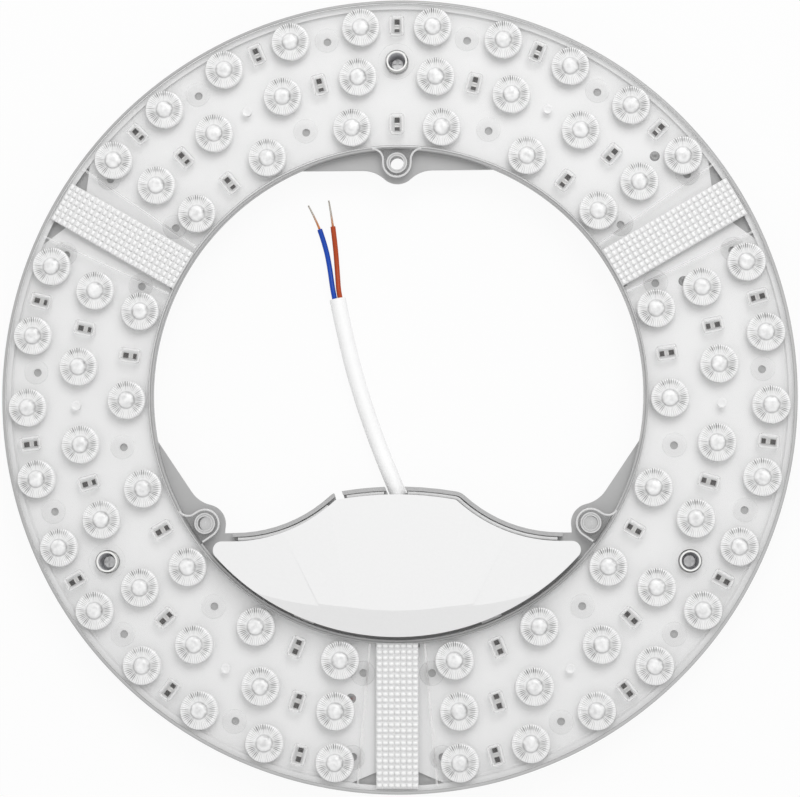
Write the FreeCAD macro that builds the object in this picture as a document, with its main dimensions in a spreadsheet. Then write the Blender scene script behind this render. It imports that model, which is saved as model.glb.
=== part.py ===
"""A round magnetic LED module for a ceiling lamp, lying on its three magnets.

A grey tray carries three ring-shaped LED boards, and one clear moulding with 72 lenses covers them.
The driver sits in a pocket of the tray, inside the ring, under a white cover, and a short supply
lead with two stripped cores leaves the pocket towards the middle.

Millimetres. The origin is the middle of the ring, on the plane of the magnets' faces. +Z points the
way the light goes, +Y away from the driver. Angles are counted anticlockwise from +X.
"""

import FreeCAD, Part
import math
import os
import re

import Sketcher
from FreeCAD import Placement, Rotation, Vector

doc = FreeCAD.newDocument("MagneticLedModule")
sheet = doc.addObject("Spreadsheet::Sheet", "Sizes")

# Driving dimensions: alias, value, what it is
SIZES = [
    # The heights, from the magnets' faces up
    ("magnet_height", 5.0, "pot magnet, face to back"),
    ("sleeve_flange_height", 5.0, "sleeve flange between magnet and tray"),
    ("tray_floor", 1.5, "floor of the tray"),
    ("board_thickness", 1.0, "LED board"),
    ("board_headroom", 1.5, "LED board to the cover's underside"),
    ("plate_thickness", 1.6, "plate of the clear cover"),
    # The clear cover
    ("ring_radius", 150.0, "outside of the module"),
    ("ring_width", 57.5, "the clear cover, from its outer to its inner edge"),
    ("skirt_wall", 1.2, "wall of the cover's two skirts"),
    ("rim_round", 0.8, "rounding of the cover's outer top edge"),
    ("lens_radius", 7.25, "foot of a lens"),
    ("lens_shoulder_radius", 6.7, "top edge of a lens"),
    ("lens_rise", 1.6, "top edge of a lens above the plate"),
    ("dome_radius", 3.0, "bright dome in the middle of a lens"),
    ("dome_foot_rise", 1.1, "foot of the dome above the plate"),
    ("dome_rise", 2.3, "top of the dome above the plate"),
    ("window_length", 8.1, "raised window over two resistors, along the radius"),
    ("window_width", 5.7, "the same window, across the radius"),
    ("window_corner", 1.3, "its corner radius"),
    ("window_rise", 0.8, "its height above the plate"),
    ("prism_pitch", 2.25, "width and length of one prism"),
    ("prism_height", 0.9, "height of one prism"),
    ("prism_base_rise", 0.2, "foot of the prisms above the plate"),
    ("guide_rib_near", 10.3, "rib beside a prism strip, from its middle line, at the inner edge"),
    ("guide_rib_far", 14.8, "the same rib at the outer edge"),
    ("guide_rib_width", 0.8, "width of that rib"),
    ("guide_rib_drop", 0.6, "how far it hangs below the plate"),
    ("peg_radius", 1.2, "locating peg under the cover"),
    ("peg_shift", 0.5, "circle of the pegs outside the middle row of lenses"),
    ("screw_pad_radius", 6.9, "raised pad round a magnet screw"),
    ("screw_pad_rise", 0.3, "its height above the plate"),
    # The ears
    ("ear_inset", 5.1, "middle of an ear inside the cover's inner edge"),
    ("ear_cap_radius", 5.6, "rounded end of an ear of the cover"),
    ("ear_radius", 7.35, "rounded end of an ear of the tray"),
    ("ear_bore", 5.2, "fixing hole through an ear"),
    ("ear_boss_wall", 0.65, "wall of the boss round that hole"),
    ("ear_stake_width", 0.7, "how far the staked rim of the boss reaches over the cover"),
    ("ear_stake_height", 0.6, "height of that rim"),
    ("ear_flare", 3.7, "rounding between an ear of the cover and its inner edge"),
    ("web_inset", 7.2, "straight edge of the web beside an ear, inside the cover's inner edge"),
    ("web_fillet", 12.0, "rounding between that edge and the ear"),
    # The tray
    ("tray_setback", 0.3, "inner edge of the tray behind the cover's"),
    ("tray_rim_wall", 1.2, "upstand at the tray's outer edge"),
    ("tray_rim_height", 2.0, "its height above the floor"),
    ("fit_gap", 0.3, "clearance between the tray and what slides round it"),
    # The driver pocket
    ("pocket_level", 2.0, "underside of the pocket"),
    ("pocket_wall", 1.5, "wall and floor of the pocket"),
    ("pocket_inset", 4.5, "pocket wall behind the edge of the band round it"),
    ("pocket_rim_inset", 1.8, "outside of the pocket, inside the inner edge of the tray"),
    ("band_depth", 57.4, "the band at the middle line, from the cover's inner edge"),
    ("band_crown_radius", 130.0, "its bulge"),
    ("band_end_length", 15.9, "straight end of the band beside the ring"),
    ("band_shoulder_radius", 53.0, "radius of the hollow shoulder"),
    ("band_end_depth", 40.1, "the same end, from the cover's inner edge"),
    ("band_corner", 6.0, "rounding between crown and shoulder"),
    ("band_wall", 1.5, "upstand along the band's edge"),
    ("band_wall_height", 3.5, "its height above the floor"),
    ("band_wall_reach", 62.0, "its end, from the middle line"),
    ("band_slot_width", 3.2, "slot cut through the band"),
    ("band_slot_x", 22.3, "its distance from the middle line"),
    ("band_slot_inset", 2.4, "its distance behind the band's edge"),
    ("band_slot_turn", 17.0, "its slant"),
    # The driver cover
    ("driver_cover_inset", 3.35, "edge of the driver cover behind the band's edge"),
    ("driver_cover_rim_gap", 1.2, "its edge towards the ring, inside the cover's inner edge"),
    ("driver_cover_height", 14.5, "its top above the tray floor"),
    ("driver_cover_wall", 1.5, "its wall"),
    ("driver_cover_corner", 3.3, "rounding of its two tips"),
    ("bevel_radius", 119.0, "arc between flat top and bevel"),
    ("bevel_width", 9.8, "width of the bevel at the middle line"),
    ("bevel_drop", 5.0, "how far the bevel falls"),
    ("crease_near_x", 24.7, "first fold of the top, at the crown"),
    ("crease_near_inset", 7.9, "the same point, behind the band's edge"),
    ("crease_near_turn", 10.2, "slant of that fold"),
    ("crease_far_x", 41.8, "second fold of the top, at the shoulder"),
    ("crease_far_inset", 18.3, "the same point, behind the band's edge"),
    ("crease_far_turn", 27.0, "slant of that fold"),
    ("crease_tilt", 2.5, "how much the top falls at each fold"),
    ("snap_length", 8.0, "snap tab of the driver cover, towards the ring"),
    ("snap_shoulder_length", 6.7, "the same on the shoulder, across the module"),
    ("snap_reach", 0.9, "how far it stands out"),
    ("snap_height", 1.5, "its height"),
    ("snap_shoulder_x", 35.2, "tab on the shoulder, from the middle line"),
    ("snap_rim_turn", 22.6, "tab towards the ring, from the middle line"),
    # The LED boards
    ("board_gap", 0.4, "board to the walls beside it"),
    ("board_seam", 0.6, "gap between two boards"),
    ("corner_flat", 3.5, "half of the flat end where two boards meet at the rim"),
    ("corner_width", 17.6, "start of the cut corner, from the seam"),
    ("corner_depth", 7.0, "depth of the cut corner"),
    ("notch_near", 4.8, "notch in the inner edge, from the seam"),
    ("notch_width", 3.4, "width of that notch"),
    ("notch_depth", 1.2, "depth of that notch"),
    ("vent_radius", 1.5, "round hole in a board"),
    ("vent_outer_inset", 12.8, "outer circle of these holes, from the cover's outer edge"),
    ("vent_inner_inset", 13.2, "inner circle of these holes, from the cover's inner edge"),
    ("vent_end_turn", 53.0, "last hole of a board, from its middle"),
    ("wire_hole_radius", 1.9, "hole for a pair of wires"),
    ("wire_hole_inset", 23.3, "wire holes near a seam, from the cover's inner edge"),
    ("wire_hole_outer_inset", 17.6, "wire hole of the top board, from the cover's outer edge"),
    ("wire_hole_turn", 51.3, "wire hole from the middle of its board"),
    ("wire_hole_outer_turn", 47.4, "the same on the top board"),
    # Rows of lenses
    ("outer_row_inset", 9.9, "outer row of lenses, from the cover's outer edge"),
    ("outer_row_step", 11.2, "angle between its lenses"),
    ("middle_row_step", 14.0, "angle between the lenses of the middle row"),
    ("inner_row_inset", 9.85, "inner row of lenses, from the cover's inner edge"),
    ("inner_row_step", 19.17, "angle between its lenses"),
    # Parts on the boards
    ("led_length", 3.5, "LED package"),
    ("led_width", 2.8, "LED package"),
    ("led_height", 0.7, "LED package"),
    ("resistor_length", 3.2, "chip resistor"),
    ("resistor_width", 1.6, "chip resistor"),
    ("resistor_height", 0.55, "chip resistor"),
    ("resistor_pitch", 3.7, "two resistors in line"),
    # Magnets and their screws
    ("magnet_inset", 23.7, "circle of the three magnets, from the cover's outer edge"),
    ("cup_radius", 8.0, "pot magnet"),
    ("cup_wall", 1.5, "steel of the pot"),
    ("hub_radius", 2.6, "threaded hub of the pot"),
    ("sleeve_radius", 3.95, "white sleeve through board and cover"),
    ("sleeve_bore_radius", 3.25, "its bore, wide enough for the screw head"),
    ("sleeve_flange_radius", 6.5, "its flange under the tray"),
    ("sleeve_hole_gap", 0.45, "sleeve to the hole in board and cover"),
    ("sleeve_proud", 0.4, "sleeve above the pad of the cover"),
    ("screw_seat", 2.0, "floor of the bore, above the magnet"),
    ("screw_radius", 1.5, "shank of the magnet screw"),
    ("screw_head_radius", 2.6, "its head"),
    ("screw_head_height", 2.0, "its head"),
    ("screw_clearance", 0.1, "screw in its hole"),
    ("screw_end", 0.6, "end of the screw above the magnet's face"),
    ("slot_width", 0.8, "cross slot of a screw"),
    ("slot_depth", 0.9, "cross slot of a screw"),
    # Driver
    ("driver_board_length", 74.0, "driver board, across"),
    ("driver_board_width", 21.0, "driver board, front to back"),
    ("driver_board_thickness", 1.6, "driver board"),
    ("driver_board_setback", 23.9, "its near edge behind the band's edge"),
    ("transformer_x", -7.0, "middle of the transformer"),
    ("core_length", 16.0, "ferrite core"),
    ("core_width", 5.0, "ferrite core"),
    ("core_height", 12.5, "ferrite core"),
    ("core_yoke", 2.8, "legs and yokes of the ferrite core"),
    ("winding_depth", 13.0, "winding, front to back"),
    ("post_height", 2.0, "posts under the driver board"),
    ("post_radius", 3.0, "posts under the driver board"),
    ("post_margin", 3.6, "post centre from the edges of the driver board"),
    ("small_screw_radius", 1.25, "screws of driver board and cord clamp"),
    ("small_head_radius", 2.3, "their heads"),
    ("small_head_height", 1.4, "their heads"),
    # Supply lead
    ("cord_diameter", 6.2, "white sheath"),
    ("core_diameter", 1.95, "insulated core"),
    ("strand_diameter", 1.0, "bundle of stripped strands"),
    ("core_gap", 0.16, "gap between the two cores in the sheath"),
    ("core_straight", 3.2, "straight start of a core at the end of the sheath"),
    ("cord_exit_level", 6.8, "middle of the cord where it leaves the pocket"),
    ("cord_hole_gap", 0.4, "cord to the hole in the pocket wall"),
    ("cord_notch", 3.8, "notch above the cord, back from the band's edge"),
    ("clamp_depth", 6.0, "clamp, front to back"),
    ("clamp_flange", 2.0, "flange of the clamp under its screw heads"),
    ("clamp_roof", 1.6, "clamp above and beside the cord"),
    ("clamp_gap", 0.1, "clamp to cord"),
    ("lead_diameter", 1.6, "wires inside the module"),
    ("lead_gap", 0.1, "wire to terminal and to wire"),
    ("lead_drop", 1.92, "middle of a wire below the tray it runs behind"),
    ("lead_hole_width", 6.4, "opening in the pocket wall for two wires"),
    ("lead_hole_height", 2.9, "height of that opening"),
    ("lead_hole_drop", 3.35, "its lower edge below the tray"),
    ("lead_straight", 3.0, "straight start of a wire at the sheath"),
    ("lead_sag", 0.3, "how far a wire rises into its terminal"),
    ("terminal_length", 8.0, "terminal block"),
    ("terminal_width", 6.4, "terminal block"),
    ("terminal_height", 8.0, "terminal block"),
    ("terminal_pitch", 3.8, "two wires in a terminal"),
    ("terminal_margin", 0.6, "terminal to the edge of the driver board"),
    ("terminal_screw_radius", 1.4, "screw well of a terminal"),
    ("terminal_screw_depth", 1.2, "screw well of a terminal"),
    ("entry_radius", 1.1, "wire entry of a terminal"),
    ("entry_depth", 2.5, "wire entry of a terminal"),
    ("inlet_level", 3.2, "middle of the entries for the supply, above the driver board"),
    ("outlet_level", 1.9, "the same for the wires to the boards"),
    ("inlet_shift", 2.4, "supply terminal beside the start of the cord"),
    ("outlet_x", -17.0, "terminal for the wires to the boards, from the middle"),
    ("link_length", 9.0, "flat link between two boards"),
    ("link_width", 2.0, "the same link"),
    ("link_thickness", 0.6, "the same link"),
    ("link_inner_inset", 19.5, "circle of the first link, from the cover's inner edge"),
    ("link_outer_inset", 19.0, "circle of the second link, from the cover's outer edge"),
]

# Sizes that follow from those above: alias, formula, what it is
DERIVED = [
    ("cover_inner_radius", "ring_radius - ring_width", "inner edge of the clear cover"),
    ("tray_inner_radius", "cover_inner_radius + tray_setback", "inner edge of the tray"),
    ("ear_circle_radius", "cover_inner_radius - ear_inset", "circle of the three fixing ears"),
    ("web_chord", "cover_inner_radius - web_inset", "edge of the webs, from the middle"),
    ("pocket_rim_radius", "tray_inner_radius - pocket_rim_inset", "pocket, towards the ring"),
    ("driver_cover_radius", "cover_inner_radius - driver_cover_rim_gap", "driver cover, towards the ring"),
    ("band_crown", "cover_inner_radius - band_depth", "edge of the band, from the middle"),
    ("band_flat", "cover_inner_radius - band_end_depth", "its straight end, from the middle"),
    (
        "band_shoulder_x",
        "sqrt((tray_inner_radius + fit_gap) ^ 2 - band_flat ^ 2) - band_end_length",
        "where the hollow shoulder runs out",
    ),
    ("band_slot_y", "band_crown + band_slot_inset", "slot, from the middle"),
    ("crease_near_y", "band_crown + crease_near_inset", "first fold, from the middle"),
    ("crease_far_y", "band_crown + crease_far_inset", "second fold, from the middle"),
    ("driver_board_edge", "band_crown + driver_board_setback", "near edge of the driver board"),
    ("outer_row_radius", "ring_radius - outer_row_inset", "outer row of lenses"),
    ("inner_row_radius", "cover_inner_radius + inner_row_inset", "inner row of lenses"),
    ("middle_row_radius", "(outer_row_radius + inner_row_radius) / 2", "middle row of lenses"),
    ("peg_row_radius", "middle_row_radius + peg_shift", "circle of the pegs"),
    ("vent_outer_circle", "ring_radius - vent_outer_inset", "outer circle of round holes"),
    ("vent_inner_circle", "cover_inner_radius + vent_inner_inset", "inner circle of round holes"),
    ("wire_hole_circle", "cover_inner_radius + wire_hole_inset", "wire holes near a seam"),
    ("wire_hole_outer_circle", "ring_radius - wire_hole_outer_inset", "wire hole of the top board"),
    ("magnet_circle_radius", "ring_radius - magnet_inset", "circle of the three magnets"),
    ("link_inner_circle", "cover_inner_radius + link_inner_inset", "circle of the first link"),
    ("link_outer_circle", "ring_radius - link_outer_inset", "circle of the second link"),
]

BOARDS = {"top": 90.0, "left": 210.0, "right": 330.0}
SEAMS = (30.0, 150.0, 270.0)
EARS = (90.0, 214.0, 326.0)
# Sides of an ear of the cover that run out in a flare: the lower ears have none towards the driver
EAR_FLARES = {90.0: (-1, 1), 214.0: (-1,), 326.0: (1,)}
MAGNETS = BOARDS

# Lenses of a row lie at odd half steps from the board's middle, windows at whole steps
ROWS = {
    "outer": {"lenses": 10, "windows": (-4, -2, 0, 2, 4)},
    "middle": {"lenses": 8, "windows": (-3, -1, 1, 3)},
    "inner": {"lenses": 6, "windows": (-2, 0, 2)},
}
VENTS_OUTER = (-3, -1, 1, 3)
VENTS_INNER = (-1, 1)
PRISM_COLUMNS = 7
PEG_STEPS = (-2, 2)

# Parts on the driver board, in mm from its middle: label, sizes, x, y
DRIVER_CANS = [
    ("input_capacitor", 10.0, 12.5, 13.5, -2.0),
    ("output_capacitor", 8.0, 11.5, -27.0, 1.0),
    ("input_choke", 7.5, 9.0, 28.5, 2.0),
]
DRIVER_BLOCKS = [
    ("film_capacitor", 5.0, 13.0, 9.0, 21.5, 1.2),
    ("bridge_rectifier", 6.5, 5.0, 2.5, 4.0, -7.0),
    ("driver_chip", 5.0, 4.0, 1.6, -26.5, -7.0),
    ("output_diode", 4.5, 3.0, 2.2, -20.5, 5.5),
]
# Radius, length, start along X, and distance of its axis from the board's far edge
FUSE = (1.8, 8.0, 18.0, 2.6)

# Route of the supply lead: its run from clamp to floor is straight in plan, the rest lies on the
# floor. Points are x, y and the height of the cord's middle; None means lying on the floor.
CORD_ROUTE = [
    (4.45, -48.3, "exit"),
    (-1.56, -33.9, "exit"),
    (-7.9, -18.7, None),
    (-14.0, -1.2, None),
    (-19.4, 17.9, None),
    (-23.38, 37.1, None),
]
BLUE_ROUTE = [(-25.75, 44.2, 2.3), (-26.5, 49.2, None), (-28.0, 57.2, None), (-30.4, 64.2, None)]
BROWN_ROUTE = [(-23.3, 44.7, 2.3), (-23.75, 49.8, None), (-24.35, 57.6, None), (-25.33, 65.3, None)]
BLUE_STRANDS = [(-32.2, 68.7, 0.75), (-34.85, 73.6, None)]
BROWN_STRANDS = [(-26.0, 70.3, 0.75), (-26.99, 75.5, None)]


def fill_sheet():
    """Write every driving dimension and what follows from it into the spreadsheet, one row each."""
    rows = [(alias, str(number), meaning) for alias, number, meaning in SIZES]
    rows += [(alias, f"={formula}", meaning) for alias, formula, meaning in DERIVED]
    for row, (alias, content, meaning) in enumerate(rows, start=1):
        sheet.set(f"A{row}", meaning)
        sheet.set(f"B{row}", content)
        sheet.setAlias(f"B{row}", alias)
    doc.recompute()


fill_sheet()
ALIASES = {alias for alias, _, _ in SIZES + DERIVED}


def bind(text):
    """Turn a formula in plain aliases into a FreeCAD expression on the sheet."""
    return re.sub(r"[a-z_]+", lambda m: "Sizes." + m[0] if m[0] in ALIASES else m[0], text)


def size(alias):
    """The value of one cell of the sheet."""
    return float(getattr(sheet, alias))


# Heights that follow from the sheet, as formulas and as numbers
TRAY_LEVEL = "(magnet_height + sleeve_flange_height)"
FLOOR_LEVEL = f"({TRAY_LEVEL} + tray_floor)"
BOARD_TOP = f"({FLOOR_LEVEL} + board_thickness)"
PLATE_LEVEL = f"({BOARD_TOP} + board_headroom)"
PLATE_TOP = f"({PLATE_LEVEL} + plate_thickness)"
DRIVER_LEVEL = "(pocket_level + pocket_wall + post_height)"
DRIVER_TOP = f"({DRIVER_LEVEL} + driver_board_thickness)"

tray_level = size("magnet_height") + size("sleeve_flange_height")
floor_level = tray_level + size("tray_floor")
board_top = floor_level + size("board_thickness")
plate_level = board_top + size("board_headroom")
plate_top = plate_level + size("plate_thickness")
pocket_floor = size("pocket_level") + size("pocket_wall")
driver_top = pocket_floor + size("post_height") + size("driver_board_thickness")
tray_rim_inside = size("ring_radius") - size("skirt_wall") - size("fit_gap") - size("tray_rim_wall")


def primitive(kind, name, turn=None, **formulas):
    """A Part primitive whose sizes and place are formulas in the sheet's aliases."""
    piece = doc.addObject(kind, name)
    if turn is not None:
        piece.Placement = Placement(Vector(), Rotation(Vector(0, 0, 1), turn))
    for name_of_property, formula in formulas.items():
        path = f"Placement.Base.{name_of_property}" if name_of_property in "xyz" else name_of_property
        piece.setExpression(path, bind(str(formula)))
    return piece


def cylinder(name, radius, height, x="0", y="0", z="0"):
    return primitive("Part::Cylinder", name, Radius=radius, Height=height, x=x, y=y, z=z)


def polar(radius, angle):
    """Formulas for x and y of a point given by its radius and angle."""
    return {"x": f"{radius} * cos({angle} * 1deg)", "y": f"{radius} * sin({angle} * 1deg)"}


def fuse(name, pieces):
    joined = doc.addObject("Part::MultiFuse", name)
    joined.Shapes = pieces
    joined.Refine = True
    return joined


def cut(name, base, tool):
    result = doc.addObject("Part::Cut", name)
    result.Base = base
    result.Tool = tool
    result.Refine = True
    return result


def common(name, pieces):
    result = doc.addObject("Part::MultiCommon", name)
    result.Shapes = pieces
    return result


def group(name, pieces):
    """Several equal solids as one node."""
    result = doc.addObject("Part::Compound", name)
    result.Links = pieces
    return result


def feature(name, shape):
    """A piece whose shape is worked out below from the sheet's values."""
    piece = doc.addObject("Part::Feature", name)
    piece.Shape = shape
    return piece


def named(piece, label):
    """Give a finished sub-part the label that names its file."""
    piece.Label = label
    NODES.append(piece)
    return piece


NODES = []


def at(radius, angle, level=0.0):
    """The point at this radius and angle, at this height."""
    return Vector(radius * math.cos(math.radians(angle)), radius * math.sin(math.radians(angle)), level)


def copies(shape, places):
    """One compound of a shape turned about Z and moved to each (point, angle)."""
    moved = []
    for point, angle in places:
        turned_copy = shape.copy()
        turned_copy.Placement = Placement(point, Rotation(Vector(0, 0, 1), angle))
        moved.append(turned_copy)
    return moved


def lens_places(centre, level):
    """Place of each lens of the board whose middle is at this angle."""
    places = []
    for row, layout in ROWS.items():
        for index in range(layout["lenses"]):
            angle = centre + (index - (layout["lenses"] - 1) / 2) * size(f"{row}_row_step")
            places.append((at(size(f"{row}_row_radius"), angle, level), angle))
    return places


def window_places(centre, level):
    """Place of each resistor window of the board whose middle is at this angle."""
    places = []
    for row, layout in ROWS.items():
        for step in layout["windows"]:
            angle = centre + step * size(f"{row}_row_step")
            places.append((at(size(f"{row}_row_radius"), angle, level), angle))
    return places


def turned(name, profile, x="0", y="0", z="0"):
    """A PartDesign body turned about Z. The profile is a closed outline of (radius, height)
    formulas, bound to the sheet through the sketch's constraints."""
    body = doc.addObject("PartDesign::Body", name)
    sketch = body.newObject("Sketcher::SketchObject", name + "_profile")
    plane = next(p for p in body.Origin.OriginFeatures if p.Role == "XZ_Plane")
    sketch.AttachmentSupport = (plane, [""])
    sketch.MapMode = "FlatFace"
    corners = [Vector(evaluate(r), evaluate(h), 0) for r, h in profile]
    count = len(corners)
    for index in range(count):
        line = Part.LineSegment(corners[index], corners[(index + 1) % count])
        sketch.addGeometry(line, False)
    for index in range(count):
        following = (index + 1) % count
        sketch.addConstraint(Sketcher.Constraint("Coincident", index, 2, following, 1))
    for index, (radius, height) in enumerate(profile):
        pin_to_axis(sketch, index, "DistanceX", radius, corners[index].x, -2)
        pin_to_axis(sketch, index, "DistanceY", height, corners[index].y, -1)
    revolution = body.newObject("PartDesign::Revolution", name + "_turned")
    revolution.Profile = sketch
    revolution.ReferenceAxis = (sketch, ["V_Axis"])
    revolution.Angle = 360.0
    body.Tip = revolution
    for axis, formula in (("x", x), ("y", y), ("z", z)):
        body.setExpression(f"Placement.Base.{axis}", bind(formula))
    return body


def pin_to_axis(sketch, line, direction, formula, number, axis):
    """Hold a line's start on an axis, or at a bound distance from it."""
    if formula == "0":
        sketch.addConstraint(Sketcher.Constraint("PointOnObject", line, 1, axis))
        return
    index = sketch.addConstraint(Sketcher.Constraint(direction, -1, 1, line, 1, number))
    sketch.setExpression(f"Constraints[{index}]", bind(formula))


def evaluate(formula):
    """The value of a formula in plain aliases."""
    return float(sheet.evalExpression(bind(formula)))


def tube(name, points, diameter):
    """A round tube along straight runs joined by tangent arcs, each arc as large as its two
    runs allow. The volume is compared with the section times the length."""
    share_of_run = 0.45
    edges, start, radii = [], points[0], []
    for before, corner, after in zip(points, points[1:], points[2:]):
        into = (corner - before).normalize()
        out = (after - corner).normalize()
        reach = share_of_run * min((corner - before).Length, (after - corner).Length)
        half_turn = into.getAngle(out) / 2
        radius = reach / math.tan(half_turn)
        towards_centre = (out - into).normalize()
        middle = corner + towards_centre * (radius / math.cos(half_turn) - radius)
        first, last = corner - into * reach, corner + out * reach
        edges.append(Part.LineSegment(start, first).toShape())
        edges.append(Part.Arc(first, middle, last).toShape())
        start = last
        radii.append(round(radius, 1))
    edges.append(Part.LineSegment(start, points[-1]).toShape())
    path = Part.Wire(edges)
    section = Part.Wire([Part.Circle(points[0], points[1] - points[0], diameter / 2).toShape()])
    solid = path.makePipeShell([section], True, True)
    expected = math.pi * diameter ** 2 / 4 * path.Length
    print(f"{name}: {path.Length:.1f} mm long, bend radii {radii}")
    if abs(solid.Volume / expected - 1) > 0.01:
        raise ValueError(f"{name} has the wrong volume")
    return solid


# The clear cover


def lens_form():
    """One lens: a disc with sloping side, a slightly dished top and a dome in the middle."""
    sunk = size("plate_thickness") / 2
    outline = [
        Vector(0, 0, -sunk),
        Vector(size("lens_radius"), 0, -sunk),
        Vector(size("lens_radius"), 0, 0),
        Vector(size("lens_shoulder_radius"), 0, size("lens_rise")),
        Vector(size("dome_radius"), 0, size("dome_foot_rise")),
        Vector(0, 0, size("dome_rise")),
        Vector(0, 0, -sunk),
    ]
    profile = Part.Face(Part.makePolygon(outline))
    return profile.revolve(Vector(), Vector(0, 0, 1), 360)


def window_form():
    """One raised window with rounded corners, its length along the radius."""
    sunk = size("plate_thickness") / 2
    length, width = size("window_length"), size("window_width")
    block = Part.makeBox(length, width, size("window_rise") + sunk, Vector(-length / 2, -width / 2, -sunk))
    upright = [e for e in block.Edges if abs(e.tangentAt(e.FirstParameter).z) > 0.9]
    return block.makeFillet(size("window_corner"), upright)


def prism_strip():
    """A strip of square pyramids that runs along the radius, from the inner edge outwards."""
    pitch = size("prism_pitch")
    foot = plate_top + size("prism_base_rise")
    near = size("cover_inner_radius") + size("skirt_wall") / 2
    rows = int((size("ring_radius") - size("skirt_wall") - near) / pitch)
    half = PRISM_COLUMNS * pitch / 2
    faces = []
    for row in range(rows):
        for column in range(PRISM_COLUMNS):
            x, y = near + row * pitch, -half + column * pitch
            corners = [
                Vector(x, y, foot),
                Vector(x + pitch, y, foot),
                Vector(x + pitch, y + pitch, foot),
                Vector(x, y + pitch, foot),
            ]
            tip = Vector(x + pitch / 2, y + pitch / 2, foot + size("prism_height"))
            for first, second in zip(corners, corners[1:] + corners[:1]):
                faces.append(Part.Face(Part.makePolygon([first, second, tip, first])))
    far = near + rows * pitch
    sunk = plate_top - size("plate_thickness") / 2
    block = Part.makeBox(far - near, 2 * half, foot - sunk, Vector(near, -half, sunk))
    faces += [face for face in block.Faces if face.CenterOfMass.z < foot - 1e-6]
    shell = Part.Shell(faces)
    return Part.Solid(shell.removeSplitter() if shell.isClosed() else sewn(faces))


def sewn(faces):
    """Faces that share only parts of their borders, sewn to one closed shell."""
    shell = Part.makeShell(faces)
    shell.sewShape()
    return shell.Shells[0]


def guide_rib(side):
    """The slanting rib under the plate on one side of a prism strip, which runs along +X."""
    near = size("cover_inner_radius") + size("skirt_wall")
    y_near, y_far = side * size("guide_rib_near"), side * size("guide_rib_far")
    half = size("guide_rib_width") / 2
    inset = size("board_gap")
    far = math.sqrt((tray_rim_inside - inset) ** 2 - (abs(y_far) + half) ** 2)
    corners = [
        Vector(near - inset, y_near - half, 0),
        Vector(far, y_far - half, 0),
        Vector(far, y_far + half, 0),
        Vector(near - inset, y_near + half, 0),
    ]
    face = Part.Face(Part.makePolygon(corners + corners[:1]))
    face.translate(Vector(0, 0, plate_level - size("guide_rib_drop")))
    return face.extrude(Vector(0, 0, size("guide_rib_drop") + size("plate_thickness") / 2))


def about_z(shape, angle):
    """A copy of a shape turned about the ring's middle."""
    turned_copy = shape.copy()
    turned_copy.rotate(Vector(), Vector(0, 0, 1), angle)
    return turned_copy


def ear_neck(angle):
    """The part of the plate between an ear's rounded end and the ring."""
    half, flare, thickness = size("ear_cap_radius"), size("ear_flare"), size("plate_thickness")
    edge = size("ear_inset")
    inside = edge + size("skirt_wall") / 2
    block = Part.makeBox(inside, 2 * half, thickness, Vector(0, -half, 0))
    corners = []
    for side in EAR_FLARES[angle]:
        low = min(side * half, side * (half + flare))
        corner = Part.makeBox(flare + inside - edge, flare, thickness, Vector(edge - flare, low, 0))
        hollow = Part.makeCylinder(flare, thickness, Vector(edge - flare, side * (half + flare), 0))
        corners.append(corner.cut(hollow))
    neck = block.fuse(corners).removeSplitter()
    neck.translate(Vector(size("ear_circle_radius"), 0, plate_level))
    return about_z(neck, angle)


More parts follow.
